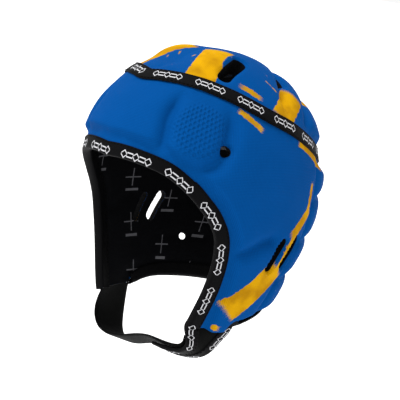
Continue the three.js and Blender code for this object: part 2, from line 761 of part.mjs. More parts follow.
function rowClimb(turn, { stop, share = 0 }, towards) {
  const hem = Math.min(stop, 1) * seamHemWidth;
  const rise = Math.max(stop - 1, 0) * seamRiseAt(turn);
  const way = Math.sign(towards);
  const start = seamClimb(turn) + way * (seamGapClimb + (hem + rise) * climbPerLength);
  return start + (towards - start) * share;
}
const bandClimb = (turn, row) => rowClimb(turn, row, bottomClimb);
const crownClimb = (turn, row) => rowClimb(turn, row, 1);

// the four faces of a padded piece and its lining, from the rings of its outer and inner skins
function clothGrids(outerRings, innerRings, climbAt, relief) {
  const at = (lift) => (turn, row) => {
    const climb = climbAt(turn, row);
    return onSkin(turn, climb, lift(turn, climb));
  };
  const under = (depth) => ({ rings: innerRings, place: at(() => -padThickness - depth) });
  return {
    outer: { rings: outerRings, place: at((turn, climb) => outerLift(turn, climb, relief)) },
    inner: under(0),
    liningOuter: under(clearance),
    liningInner: under(clearance + liningThickness),
  };
}

// The inner skins are smooth, so they need fewer columns and rows than the padded ones.
const everySecond = (_, i) => i % 2 === 0;
const innerTurns = bandTurns
  .filter((turn, i) => everySecond(turn, i) || Math.abs(turn) > halfTurn / 2);
const bandGrids = clothGrids(
  [...hemRows, ...bandPadRows].map((row) => ({ row, turns: bandTurns })),
  [...innerHemRows, ...bandPadRows].map((row) => ({ row, turns: innerTurns })),
  bandClimb,
  { chains: bandChains, blocks: [] },
);
// towards the pole, where the columns crowd together, some of them end
const crownTurnsAt = ({ share = 0 }, turns) => turns.filter((_, i) => {
  const kept = share > thinnedRows.quarter ? 4 : 2;
  return share < thinnedRows.half || i % kept === 0;
});
const crownGrids = clothGrids(
  [...hemRows, ...crownPadRows].map((row) => ({ row, turns: crownTurnsAt(row, bandTurns) })),
  [...innerHemRows, ...crownPadRows.filter((row, i) => !everySecond(row, i))]
    .map((row) => ({ row, turns: crownTurnsAt(row, innerTurns) })),
  crownClimb,
  { chains: crownChains, blocks: crownBumps },
);

const openingPlug = makeOpeningPlug();
const bandOpenings = makeBandOpenings();
const crownOpenings = makeCrownOpenings();
const seamStations = bandTurns.map((turn) => skinStation(turn, seamClimb(turn)));
const seamTape = band(-seamTapeWidth / 2, seamTapeWidth / 2, outerLeg, outerLeg + tapeThickness);

function makeWrapPanel() {
  return shell(bandGrids.outer, bandGrids.inner, false)
    .subtract(openingPlug)
    .subtract(bandOpenings);
}

function makeWrapLining() {
  return shell(bandGrids.liningOuter, bandGrids.liningInner, false)
    .subtract(openingPlug)
    .subtract(bandOpenings);
}

const makeCrownPanel = () => shell(crownGrids.outer, crownGrids.inner, true)
  .subtract(crownOpenings);
const makeCrownLining = () => shell(crownGrids.liningOuter, crownGrids.liningInner, true)
  .subtract(crownOpenings);
const makeCrownBinding = () => loft(trimSections(seamStations, seamTape, true), true);
const makeFaceBinding = () => loft(trimSections(faceTapeStations, foldedTape, false), false);
const makeNeckBinding = () => loft(trimSections(neckTapeStations, foldedTape, false), false);

function meshOf(name, solid, colour, roughness) {
  const { vertProperties, triVerts } = solid.getMesh();
  const geometry = new THREE.BufferGeometry();
  geometry.setAttribute('position', new THREE.Float32BufferAttribute(vertProperties, 3));
  geometry.setIndex(Array.from(triVerts));
  geometry.computeVertexNormals();
  const material = new THREE.MeshStandardMaterial({ color: colour, roughness, metalness: 0 });
  const mesh = new THREE.Mesh(geometry, material);
  mesh.name = name;
  return mesh;
}

const scrumCap = new THREE.Group();
scrumCap.add(
  meshOf('wrap_panel', makeWrapPanel(), colours.shell, 0.7),
  meshOf('crown_panel', makeCrownPanel(), colours.shell, 0.7),
  meshOf('wrap_lining', makeWrapLining(), colours.lining, 0.85),
  meshOf('crown_lining', makeCrownLining(), colours.lining, 0.85),
  meshOf('face_binding', makeFaceBinding(), colours.tape, 0.75),
  meshOf('neck_binding', makeNeckBinding(), colours.tape, 0.75),
  meshOf('crown_binding', makeCrownBinding(), colours.tape, 0.75),
  meshOf('chin_strap', makeChinStrap(), colours.strap, 0.8),
  meshOf('chin_tab', makeChinTab(), colours.strap, 0.8),
);

export default scrumCap;
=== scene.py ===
import math

import bpy
import numpy as np
from mathutils import Matrix, Vector


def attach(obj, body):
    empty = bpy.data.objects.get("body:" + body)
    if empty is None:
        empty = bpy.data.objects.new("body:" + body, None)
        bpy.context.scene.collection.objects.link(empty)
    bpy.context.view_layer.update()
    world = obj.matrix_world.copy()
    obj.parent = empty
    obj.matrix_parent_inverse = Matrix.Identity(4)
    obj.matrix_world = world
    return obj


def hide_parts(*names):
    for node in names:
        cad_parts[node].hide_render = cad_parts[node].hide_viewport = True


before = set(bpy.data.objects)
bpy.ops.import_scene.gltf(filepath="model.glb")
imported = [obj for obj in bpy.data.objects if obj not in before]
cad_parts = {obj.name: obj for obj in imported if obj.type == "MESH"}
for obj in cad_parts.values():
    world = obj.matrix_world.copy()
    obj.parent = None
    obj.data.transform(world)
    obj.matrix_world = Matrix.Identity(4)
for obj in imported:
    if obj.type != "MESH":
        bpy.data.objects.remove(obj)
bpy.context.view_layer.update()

# A padded scrum cap, dressed over its solids: knitted cloth on foam pads, a dark lining,
# printed edge tape, and a strap and tab closed under the chin. Metres, front towards -Y.
scene = bpy.context.scene
scene.view_settings.view_transform = "Standard"


# ---- camera ----

photoView = {
    "target": (0, 0, -0.097), "distance": 1.1,
    "round": 44.75, "above": 9.67, "roll": 7.76,  # degrees
    "frame": 400, "pixelsPerMetre": 1180, "targetPixel": (200.6, 177.1), "sensor": 36,
}


# The camera's axes: turned round the cap, lifted above it and rolled about its own view.
def placeCamera(view):
    turn, above, roll = (math.radians(view[key]) for key in ("round", "above", "roll"))
    level = Vector((math.cos(turn), math.sin(turn), 0))
    upright = Vector((-math.sin(turn) * math.sin(above), math.cos(turn) * math.sin(above), math.cos(above)))
    right = level * math.cos(roll) + upright * math.sin(roll)
    up = upright * math.cos(roll) - level * math.sin(roll)
    axes = [right, up, right.cross(up)]
    data = bpy.data.cameras.new("photoCamera")
    data.sensor_width = view["sensor"]
    data.lens = view["sensor"] * view["distance"] * view["pixelsPerMetre"] / view["frame"]
    data.shift_x = (view["frame"] / 2 - view["targetPixel"][0]) / view["frame"]
    data.shift_y = (view["targetPixel"][1] - view["frame"] / 2) / view["frame"]
    camera = bpy.data.objects.new("photoCamera", data)
    scene.collection.objects.link(camera)
    place = Vector(view["target"]) + axes[2] * view["distance"]
    camera.matrix_world = Matrix.Translation(place) @ Matrix(axes).transposed().to_4x4()
    scene.camera = camera


placeCamera(photoView)
print("camera placed")


# ---- form of the cap ----

capForm = {
    "width": 0.184, "length": 0.232, "crownHeight": 0.104, "flapDrop": 0.145, "squareness": 2.03,
    "pad": 0.010, "hem": 0.0044, "lining": 0.001, "gap": 0.0003,
    "seamProud": 0.0062,  # the front of the crown's seam lies this much higher than a hem
    "frontFullness": 0.09,  # how much slower the front narrows towards the top
    "drop": (0, 0.27, 0.52, 0.77, 1),  # rows of the outline below the widest level
    "widthAt": (1, 1, 0.925, 0.8, 0.645),
    "frontAt": (1, 0.98, 0.945, 0.915, 0.845),
    "backAt": (1, 0.91, 0.735, 0.57, 0.43),
}
widestLevel = capForm["pad"] + capForm["gap"] + capForm["lining"] - capForm["crownHeight"]
hemOutside = capForm["hem"] - capForm["pad"]
liningInside = -capForm["pad"] - capForm["gap"] - capForm["lining"]
hemMiddle = (hemOutside + liningInside) / 2
hemHalf = (hemOutside - liningInside) / 2


# 3t^2 - 2t^3 between 0 and 1
def smoothStep(value):
    t = np.clip(value, 0, 1)
    return t * t * (3 - 2 * t)


def signedPower(value, power):
    return np.sign(value) * np.abs(value) ** power


# Cubic through the rows of a table, with the slope at a row taken from its two neighbours.
def readRows(keys, values, at):
    keys, values = np.asarray(keys, float), np.asarray(values, float)
    slopes = np.zeros(len(keys))
    slopes[1:-1] = (values[2:] - values[:-2]) / (keys[2:] - keys[:-2])
    at = np.clip(at, keys[0], keys[-1])
    i = np.clip(np.searchsorted(keys, at, side="right") - 1, 0, len(keys) - 2)
    step = keys[i + 1] - keys[i]
    t = (at - keys[i]) / step
    return (values[i] + (values[i + 1] - values[i]) * t * t * (3 - 2 * t)
            + step * (slopes[i] * t * (1 - t) ** 2 - slopes[i + 1] * t * t * (1 - t)))


# Level is a share of the crown's height above the widest level and, with a minus, of the
# flaps' drop below it. Climb runs evenly over the crown: the arc sine of the level.
def climbOfLevel(level):
    level = np.asarray(level, float)
    return np.where(level > 0, np.arcsin(np.clip(level, 0, 1)) * 2 / np.pi, level)


# Crest surface: a superellipse in plan that narrows as the cosine of the climb above the
# widest level, and by the outline's rows below it.
def formPoint(turn, climb):
    turn, climb = np.broadcast_arrays(np.asarray(turn, float), np.asarray(climb, float))
    drop = np.clip(-climb, 0, 1)
    arch = np.clip(climb, 0, 1) * np.pi / 2
    narrowing = np.maximum(np.cos(arch), 0) ** (1 - capForm["frontFullness"] * np.maximum(np.cos(turn), 0))
    ends = np.where(np.cos(turn) > 0, readRows(capForm["drop"], capForm["frontAt"], drop),
                    readRows(capForm["drop"], capForm["backAt"], drop))
    halfWidth = capForm["width"] / 2 * readRows(capForm["drop"], capForm["widthAt"], drop) * narrowing
    halfLength = capForm["length"] / 2 * ends * narrowing
    power = 2 / capForm["squareness"]
    height = np.where(climb > 0, capForm["crownHeight"] * np.sin(arch), climb * capForm["flapDrop"])
    return np.stack([halfWidth * signedPower(np.sin(turn), power),
                     -halfLength * signedPower(np.cos(turn), power), widestLevel + height], -1)


def unit(vectors):
    return vectors / np.maximum(np.linalg.norm(vectors, axis=-1, keepdims=True), 1e-12)


def formNormal(turn, climb):
    step = 0.004
    across = formPoint(turn + step, climb) - formPoint(turn - step, climb)
    up = formPoint(turn, climb + step) - formPoint(turn, climb - step)
    normal = unit(np.cross(across, up))
    return np.where(np.asarray(climb)[..., None] > 0.99, np.array([0.0, 0, 1]), normal)


def skinPoint(turn, climb, lift):
    return formPoint(turn, climb) + formNormal(turn, climb) * np.asarray(lift)[..., None]


# Turn and climb of the crown point seen at x, y from above, as shares of the half sizes.
def fromAbove(shares):
    x, y = np.asarray(shares, float).T
    n = capForm["squareness"]
    reach = (np.abs(x) ** n + np.abs(y) ** n) ** (1 / n)
    turn = np.arctan2(signedPower(x / reach, n / 2), -signedPower(y / reach, n / 2))
    return np.stack([turn, np.arccos(np.minimum(reach, 1)) * 2 / np.pi], 1)


def fromRows(rows):
    rows = np.asarray(rows, float)
    return np.stack([np.radians(rows[:, 0]), climbOfLevel(rows[:, 1])], 1)


# Cubic through all marks, each span from the slopes at its ends.
def smoothPath(marks, spans):
    marks = np.asarray(marks, float)
    padded = np.vstack([marks[:1], marks, marks[-1:]])
    t = np.linspace(0, len(marks) - 1, spans * (len(marks) - 1) + 1)
    i = np.minimum(t.astype(int), len(marks) - 2)
    f = (t - i)[:, None]
    p0, p1, p2, p3 = (padded[i + k] for k in range(4))
    v1, v2 = (p2 - p0) / 2, (p3 - p1) / 2
    return (2 * p1 - 2 * p2 + v1 + v2) * f ** 3 + (-3 * p1 + 3 * p2 - 2 * v1 - v2) * f ** 2 + v1 * f + p1


# The same path with its marks at equal steps along the cloth.
def evenMarks(marks, step):
    fine = smoothPath(marks, 24)
    places = skinPoint(fine[:, 0], fine[:, 1], np.full(len(fine), hemMiddle))
    along = np.concatenate([[0], np.cumsum(np.linalg.norm(np.diff(places, axis=0), axis=1))])
    wanted = np.linspace(0, along[-1], max(round(along[-1] / step), 4) + 1)
    return np.stack([np.interp(wanted, along, fine[:, k]) for k in (0, 1)], 1)


# Distance from each point to the nearest of a chain's straight pieces, and where that is.
def nearestOn(points, chain):
    best = np.full(len(points), np.inf)
    nearest = np.zeros_like(points)
    for a, b in zip(chain[:-1], chain[1:]):
        arm = b - a
        t = np.clip((points - a) @ arm / max(arm @ arm, 1e-12), 0, 1)
        spot = a + t[:, None] * arm
        away = np.sum((points - spot) ** 2, axis=1)
        closer = away < best
        best[closer], nearest[closer] = away[closer], spot[closer]
    return np.sqrt(best), nearest


# Even-odd rule: how many edges of the outline lie to the right of each point.
def insideOutline(x, y, outline):
    inside = np.zeros(x.shape, bool)
    for (xa, ya), (xb, yb) in zip(outline, np.roll(outline, -1, axis=0)):
        if ya != yb:
            crosses = (ya > y) != (yb > y)
            inside ^= crosses & (x < xa + (y - ya) * (xb - xa) / (yb - ya))
    return inside


# Smooth noise between -1 and 1: random values on a lattice, blended along each axis.
def latticeNoise(points, size, seed):
    values = np.random.default_rng(seed).uniform(-1, 1, (32, 32, 32))
    place = points / size
    low = np.floor(place).astype(int)
    f = smoothStep(place - low)
    total = 0
    for corner in np.ndindex(2, 2, 2):
        weight = np.prod(np.where(np.array(corner) == 1, f, 1 - f), axis=-1)
        i, j, k = ((low + corner) % 32).T
        total = total + weight * values[i, j, k]
    return total


# ---- edges, channels and openings ----

# turn in degrees from the forehead, level as above
edges = {
    "seam": [(0, 0.78), (10, 0.79), (20, 0.793), (30, 0.79), (45, 0.77), (55, 0.742), (65, 0.705),
             (76, 0.648), (86, 0.585), (98, 0.51), (108, 0.437), (119, 0.36), (130, 0.292),
             (145, 0.225), (160, 0.185), (180, 0.17)],
    "face": [(0, 0.183), (9, 0.19), (18, 0.181), (26, 0.16), (33, 0.132), (38, 0.1), (42, 0.06),
             (46, 0.012), (50.5, -0.035), (54.5, -0.083), (58.2, -0.133), (61, -0.187), (63, -0.24),
             (64.3, -0.31), (64.9, -0.41), (64.7, -0.51), (63.9, -0.62), (62.6, -0.73), (61.5, -0.81)],
    "neck": [(86, -0.81), (90, -0.8), (97, -0.785), (110, -0.765), (128, -0.755), (152, -0.745),
             (180, -0.735)],
}
channels = {
    "band": [
        {"name": "forehead", "width": 9.5, "depth": 4.8,
         "path": [(36, 0.78), (32.8, 0.66), (31.2, 0.53), (31.8, 0.4), (32.5, 0.3)]},
        {"name": "temple", "width": 11, "depth": 5.2,
         "path": [(61, 0.74), (63.2, 0.64), (63.8, 0.54), (63.5, 0.43), (62.3, 0.333), (59, 0.24),
                  (53, 0.185), (46, 0.18)]},
        {"name": "pad rims", "width": 4, "depth": 1.6,
         "path": [(46, 0.2), (38, 0.27), (32, 0.31), (22, 0.325), (11, 0.345), (0, 0.35)]},
        {"name": "cheek front", "width": 5, "depth": 1.8,
         "path": [(50, 0.15), (56.8, 0.06), (62, -0.022), (66, -0.1), (69, -0.2), (71, -0.33)]},
        {"name": "cheek", "width": 9.5, "depth": 4.4,
         "path": [(70, -0.35), (75, -0.335), (80, -0.31), (85, -0.275), (89.5, -0.26)]},
        {"name": "behind ear", "width": 8, "depth": 2.6,
         "path": [(121, 0.22), (119, -0.07), (116, -0.31), (107, -0.53), (101, -0.71)]},
        {"name": "upper back", "width": 8, "depth": 2.4,
         "path": [(119, -0.07), (135, -0.06), (180, -0.05)]},
        {"name": "middle back", "width": 8, "depth": 2.4,
         "path": [(116, -0.31), (135, -0.3), (180, -0.29)]},
        {"name": "lower back", "width": 8, "depth": 2.4,
         "path": [(107, -0.53), (130, -0.52), (180, -0.51)]},
        {"name": "back", "width": 9, "depth": 4,
         "path": [(152, 0.1), (151, -0.2), (150, -0.45), (149, -0.69)]},
    ],
    "crown": [
        {"name": "second block", "width": 9.5, "depth": 4.2,
         "path": [(0.88, 0.1), (0.69, 0.19), (0.53, 0.27), (0.37, 0.36), (0.16, 0.42), (0, 0.43)]},
        {"name": "third block", "width": 9.5, "depth": 4,
         "path": [(0.9, 0.34), (0.74, 0.42), (0.54, 0.54), (0.3, 0.64), (0, 0.67)]},
        {"name": "front dimple", "width": 8, "depth": 3.5, "path": [(0, -0.7), (0, -0.6), (0, -0.52)]},
    ],
}
crownSlots = [
    {"width": 12, "path": [(0.49, -0.32), (0.43, -0.2), (0.33, -0.03)]},
    {"width": 12, "path": [(0.5, 0.28), (0.37, 0.35), (0.25, 0.39)]},
]
bandSlots = [  # middle, length and lean of each slot, millimetres and degrees
    {"width": 7.5, "length": 31, "lean": 26, "at": (94.5, -0.347)},
    {"width": 10.5, "length": 31, "lean": 26, "at": (105.2, -0.342)},
    {"width": 10, "length": 10, "lean": 0, "at": (62.3, 0.333)},
    {"width": 7, "length": 7, "lean": 0, "at": (128, -0.53)},
]
mm = 0.001


def chainOf(marks):
    return formPoint(marks[:, 0], marks[:, 1])


faceHalf, neckHalf = (evenMarks(fromRows(edges[key]), 0.002) for key in ("face", "neck"))
faceMarks = np.vstack([(faceHalf[1:] * [-1, 1])[::-1], faceHalf])
neckMarks = np.vstack([neckHalf, (neckHalf[:-1] * [-1, 1])[::-1] + [2 * np.pi, 0]])
flapClimb = faceHalf[-1, 1]
seamRows = np.array(edges["seam"])


def seamClimb(turn):
    degrees = np.degrees(np.abs((turn + np.pi) % (2 * np.pi) - np.pi))
    return climbOfLevel(readRows(seamRows[:, 0], seamRows[:, 1], degrees))


seamChain = chainOf(np.stack([np.linspace(0, np.pi, 120), seamClimb(np.linspace(0, np.pi, 120))], 1))


# Middle line of a slot, shortened by its round ends.
def slotChain(slot):
    if "path" in slot:
        marks = smoothPath(fromAbove(slot["path"]), 12)
    else:
        turn, climb = np.radians(slot["at"][0]), float(climbOfLevel(slot["at"][1]))
        step = 0.002
        across, up = (np.linalg.norm(formPoint(turn + step * a, climb + step * b)
                                     - formPoint(turn - step * a, climb - step * b)) / (2 * step)
                      for a, b in ((1, 0), (0, 1)))
        lean = math.radians(slot["lean"])
        reach = slot["length"] * mm / 2 * np.array([math.sin(lean) / across, math.cos(lean) / up])
        marks = np.array([turn, climb]) + np.linspace(-1, 1, 9)[:, None] * reach
    chain = chainOf(marks)
    along = np.concatenate([[0], np.cumsum(np.linalg.norm(np.diff(chain, axis=0), axis=1))])
    end = min(slot["width"] * mm / 2, along[-1] / 2 - 1e-5)
    wanted = np.linspace(end, along[-1] - end, 12)
    return np.stack([np.interp(wanted, along, chain[:, k]) for k in range(3)], 1)


# Points of the right side, mirrored onto the left one, where all marks are given.
def leftSide(points):
    return np.abs(points[:, :1]) * [1, 0, 0] + points * [0, 1, 1]


# Distances to the face edge and to the neck edge.
def edgesAway(side):
    return [nearestOn(side, chainOf(half[::3]))[0] for half in (faceHalf, neckHalf)]


# Distance to the middle line of a channel, in millimetres.
def channelAway(side, channel, toMarks):
    return nearestOn(side, chainOf(smoothPath(toMarks(channel["path"]), 6)))[0] / mm


# Signed distance to the nearest slot's outline, and the move that takes a point onto it.
def openingsAt(points, slots):
    side = leftSide(points)
    best = np.full(len(points), np.inf)
    move = np.zeros_like(points)
    for slot in slots:
        half = slot["width"] * mm / 2
        away, nearest = nearestOn(side, slotChain(slot))
        closer = away - half < best
        best[closer] = (away - half)[closer]
        arm = unit(side - nearest)
        move[closer] = (nearest + arm * half - side)[closer]
    move[:, 0] *= np.where(points[:, 0] < 0, -1, 1)
    return best, move


# ---- meshes ----

# Two layers of the same grid, joined into one closed wall along every open edge of the kept
# faces. Corners are listed anticlockwise seen from outside. Walls take the second material.
def layeredMesh(name, outer, inner, quads, cornerUv, materials):
    used, quads = np.unique(quads, return_inverse=True)
    quads = quads.reshape(-1, 4)
    outer, inner = outer[used], inner[used]
    count = len(used)
    sides = np.vstack([quads[:, [k, (k + 1) % 4]] for k in range(4)])
    sideUv = np.vstack([cornerUv[:, [k, (k + 1) % 4]] for k in range(4)])
    keys, back = sides[:, 0] * count + sides[:, 1], sides[:, 1] * count + sides[:, 0]
    openSide = ~np.isin(keys, back)
    a, b = sides[openSide].T
    uvA, uvB = sideUv[openSide][:, 0], sideUv[openSide][:, 1]
    faces = np.vstack([quads, quads[:, ::-1] + count, np.stack([b, a, a + count, b + count], 1)])
    uv = np.concatenate([cornerUv, cornerUv[:, ::-1], np.stack([uvB, uvA, uvA, uvB], 1)])
    mesh = bpy.data.meshes.new(name)
    mesh.vertices.add(count * 2)
    mesh.vertices.foreach_set("co", np.vstack([outer, inner]).ravel())
    mesh.loops.add(faces.size)
    mesh.loops.foreach_set("vertex_index", faces.ravel().astype(np.int32))
    mesh.polygons.add(len(faces))
    mesh.polygons.foreach_set("loop_start", np.arange(0, faces.size, 4, dtype=np.int32))
    slots = np.zeros(len(faces), np.int32)
    slots[len(quads) * 2:] = 1
    mesh.polygons.foreach_set("material_index", slots if len(materials) > 1 else slots * 0)
    mesh.update(calc_edges=True)
    mesh.polygons.foreach_set("use_smooth", np.ones(len(faces), bool))
    layer = mesh.uv_layers.new(name="clothUv")
    layer.data.foreach_set("uv", uv.reshape(-1, 2).ravel())
    # the lips where walls meet the two layers stay crisp
    loopEdges = np.zeros(faces.size, np.int32)
    mesh.loops.foreach_get("edge_index", loopEdges)
    sharp = np.zeros(len(mesh.edges), bool)
    sharp[loopEdges.reshape(-1, 4)[len(quads) * 2:][:, [0, 2]].ravel()] = True
    mesh.attributes.new("sharp_edge", "BOOLEAN", "EDGE").data.foreach_set("value", sharp)
    for material in materials:
        mesh.materials.append(material)
    mesh.validate()
    piece = bpy.data.objects.new(name, mesh)
    scene.collection.objects.link(piece)
    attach(piece, "root")
    return piece


# Corner indices and corner values of a grid's faces, where keep says so.
def gridQuads(shape, uv, wraps, keep=None):
    rows, columns = shape
    i, j = np.meshgrid(np.arange(rows - 1), np.arange(columns if wraps else columns - 1), indexing="ij")
    corners = [(i, j), (i + 1, j), (i + 1, j + 1), (i, j + 1)]
    quads = np.stack([r * columns + c % columns for r, c in corners], -1)
    cornerUv = np.stack([uv[r, c] for r, c in corners], -2)
    keep = np.ones(i.shape, bool) if keep is None else keep
    return quads[keep], cornerUv[keep]


# millimetres, degrees of turn, and the crease as a share of its channel's depth
padRelief = {
    "faceHem": 13.5, "faceRise": 7, "neckHem": 3.5, "neckRise": 9,
    "seamHem": 7, "seamRiseFront": 24, "seamRiseBack": 10, "seamRiseTurns": (95, 140),
    "crease": 0.34, "creaseWidth": 2.4, "bulge": 1.1, "bulgeReach": 16,
    "wrinkle": 0.4, "wrinkleSize": 14, "pucker": 0.45, "puckerSize": 5.5, "puckerReach": 6,
    "lip": 2.4,
}
crownBlocks = [  # plumper and flatter places of the crown: from above, reach, height
    {"name": "beside the front slot", "at": (0.24, -0.2), "reach": 22, "height": 5},
    {"name": "low front", "at": (0, -0.36), "reach": 26, "height": -5},
]


channelSteepness = 2.5  # how steeply the sides of a channel come up


# How much of the seam's front form a turn has: 1 over the front, 0 at the back.
def seamFront(turn):
    first, last = padRelief["seamRiseTurns"]
    degrees = np.degrees(np.abs((turn + np.pi) % (2 * np.pi) - np.pi))
    return 1 - smoothStep((degrees - first) / (last - first))


# Lift of the foam from the crest surface, in metres: down at a hem along the edges and the
# seam, up from there in a smooth step, less a round valley and a crease along each channel,
# plus a bulge away from all of them, wrinkles, puckers beside the stitching and round lips
# at the slots. Also gives the distance to the nearest open edge.
def foamLift(points, channelList, toMarks, slotAway, seed):
    side = leftSide(points)
    faceAway, neckAway = (away / mm for away in edgesAway(side))
    seamAway = nearestOn(side, seamChain)[0] / mm - padRelief["seamHem"]
    front = seamFront(np.arctan2(side[:, 0] / capForm["width"], -side[:, 1] / capForm["length"]))
    seamRise = padRelief["seamRiseBack"] + (padRelief["seamRiseFront"] - padRelief["seamRiseBack"]) * front
    edgeFull = np.minimum(smoothStep((faceAway - padRelief["faceHem"]) / padRelief["faceRise"]),
                          smoothStep((neckAway - padRelief["neckHem"]) / padRelief["neckRise"]))
    seamFull = smoothStep(seamAway / seamRise)
    full = np.minimum(edgeFull, seamFull)
    seamLift = hemOutside + capForm["seamProud"] * front
    lift = np.minimum(hemOutside * (1 - edgeFull), seamLift * (1 - seamFull))
    for block in crownBlocks if toMarks is fromAbove else []:
        middle = formPoint(*fromAbove([block["at"]]).T)[0]
        away = np.linalg.norm(side - middle, axis=1) / mm / block["reach"]
        lift += full * block["height"] * mm * np.exp(-away ** 2)
    room = np.maximum(np.minimum(np.minimum(faceAway - padRelief["faceHem"], neckAway), seamAway), 0)
    for channel in channelList:
        away = channelAway(side, channel, toMarks)
        crease = padRelief["crease"] * np.exp(-(away / padRelief["creaseWidth"]) ** 2)
        valley = np.exp(-channelSteepness * (away / channel["width"]) ** 2)
        lift -= full * channel["depth"] * mm * (valley + crease)
        room = np.minimum(room, away)
    lift += padRelief["bulge"] * mm * full * (1 - np.exp(-(room / padRelief["bulgeReach"]) ** 2))
    lift += padRelief["wrinkle"] * mm * full * latticeNoise(points, padRelief["wrinkleSize"] * mm, seed)
    drawn = np.exp(-((faceAway - padRelief["faceHem"]) / padRelief["puckerReach"]) ** 2)
    drawn = np.maximum(drawn, np.exp(-((seamAway - 2) / padRelief["puckerReach"]) ** 2))
    lift += padRelief["pucker"] * mm * drawn * latticeNoise(points, padRelief["puckerSize"] * mm, seed + 20)
    lip = np.clip(1 - slotAway / mm / padRelief["lip"], 0, 1)
    lift = np.maximum(lift, hemOutside) - padRelief["lip"] * mm * (1 - np.sqrt(1 - lip ** 2)) * full
    return lift, np.minimum(faceAway, neckAway) * mm


tapeCover = 0.0028  # the cloth ends this far inside the edge, under the tape


# The band's grid: columns by turn, rows by share of the way from the seam to the flaps' end.
def bandGrid(columns, rows):
    turns = np.linspace(-np.pi, np.pi, columns, endpoint=False)
    gapClimb = capForm["gap"] * 2 / (np.pi * capForm["crownHeight"])
    top = seamClimb(turns) - gapClimb
    shares = np.linspace(0, 1, rows)[:, None]
    climb = top + (flapClimb - top) * shares
    turn = np.broadcast_to(turns, climb.shape)
    uv = np.empty((rows, columns + 1, 2))
    uv[..., 0] = np.linspace(-np.pi, np.pi, columns + 1) * 0.1
    uv[:, :-1, 1], uv[:, -1, 1] = climb * 0.15, climb[:, 0] * 0.15
    outline = np.vstack([faceMarks, [[faceMarks[-1, 0], -2], [faceMarks[0, 0], -2]]])
    absTurn = np.abs(turn)
    belowNeck = (absTurn > neckHalf[0, 0]) & (climb < np.interp(absTurn, neckHalf[:, 0], neckHalf[:, 1]))
    cloth = ~insideOutline(turn, climb, outline) & ~belowNeck
    return turn, climb, cloth, uv


# The crown's grid: square over a disc whose radius is how far a point has come down.
def crownGrid(cells):
    p, q = np.meshgrid(np.linspace(-1, 1, cells), np.linspace(-1, 1, cells), indexing="ij")
    reach = np.minimum(np.hypot(p, q), 1)
    turn, climb = np.arctan2(p, -q), 1 - reach
    gapClimb = capForm["gap"] * 2 / (np.pi * capForm["crownHeight"])
    cloth = (climb > seamClimb(turn) + gapClimb) & (np.hypot(p, q) < 1)
    return turn, climb, cloth, np.stack([p, q], -1) * 0.168


# Keeps faces whose four corners are cloth and whose middle is outside every slot, and
# gives the move that brings the corners beside a slot onto its outline.
def trimGrid(cloth, slotAway, move, wraps):
    def corners(values):
        wide = np.concatenate([values, values[:, :1]], 1) if wraps else values
        return np.stack([wide[:-1, :-1], wide[1:, :-1], wide[1:, 1:], wide[:-1, 1:]], -1)
    solid = corners(cloth).all(-1)
    outside = corners(slotAway).mean(-1) > 0
    keep = solid & outside
    rows, columns = cloth.shape
    touched = np.zeros(cloth.shape, bool)
    i, j = np.nonzero(solid & ~outside)
    for di, dj in ((0, 0), (1, 0), (0, 1), (1, 1)):
        touched[i + di, (j + dj) % columns] = True
    return keep, np.where(touched[..., None], move, 0)


# A panel of foam: lifted cloth outside, a flat back one pad down, and walls at the slots.
def paddedPanel(name, grid, slots, channelList, toMarks, wraps, seed, materials):
    turn, climb, cloth, uv = grid
    shape = turn.shape
    base, normal = formPoint(turn, climb).reshape(-1, 3), formNormal(turn, climb).reshape(-1, 3)
    slotAway, move = openingsAt(base, slots)
    keep, move = trimGrid(cloth, slotAway.reshape(shape), move.reshape(*shape, 3), wraps)
    base = base + move.reshape(-1, 3)
    slotAway = np.maximum(openingsAt(base, slots)[0], 0)
    lift, edgeAway = foamLift(base, channelList, toMarks, slotAway, seed)
    covered = edgeAway.reshape(shape) > tapeCover
    for corner in (covered, np.roll(covered, -1, 1)):
        keep &= corner[:-1, :keep.shape[1]] & corner[1:, :keep.shape[1]]
    quads, cornerUv = gridQuads(shape, uv, wraps, keep)
    outer = base + normal * lift[:, None]
    inner = base - normal * capForm["pad"]
    return layeredMesh(name, outer, inner, quads, cornerUv, materials)


liningQuilt = {"pull": 0.9, "width": 7, "wrinkle": 0.25, "wrinkleSize": 11, "hem": 11, "rise": 8}


# Inside skin: the same surface one pad down, which swells a little between sewn channels.
def liningSheet(name, grid, slots, channelList, toMarks, wraps, seed, materials):
    turn, climb, cloth, uv = grid
    shape = turn.shape
    base, normal = formPoint(turn, climb).reshape(-1, 3), formNormal(turn, climb).reshape(-1, 3)
    slotAway, move = openingsAt(base, slots)
    side = leftSide(base)
    edgeAway = np.minimum(*edgesAway(side))
    rise = smoothStep((edgeAway / mm - liningQuilt["hem"]) / liningQuilt["rise"])
    swell = np.full(len(base), liningQuilt["pull"])
    for channel in channelList:
        valley = np.exp(-channelSteepness * (channelAway(side, channel, toMarks) / liningQuilt["width"]) ** 2)
        swell = np.minimum(swell, liningQuilt["pull"] * (1 - valley))
    swell += liningQuilt["wrinkle"] * latticeNoise(base, liningQuilt["wrinkleSize"] * mm, seed)
    depth = capForm["pad"] + capForm["gap"] + np.maximum(swell, 0) * mm * rise
    cloth = cloth & (edgeAway.reshape(shape) > tapeCover)
    keep, move = trimGrid(cloth, slotAway.reshape(shape), move.reshape(*shape, 3), wraps)
    base = base + move.reshape(-1, 3)
    quads, cornerUv = gridQuads(shape, uv, wraps, keep)
    outer = base - normal * (capForm["pad"] + capForm["gap"])
    inner = base - normal * (depth + capForm["lining"])[:, None]
    return layeredMesh(name, outer, inner, quads, cornerUv, materials)


# ---- strap, tab and tape shapes ----

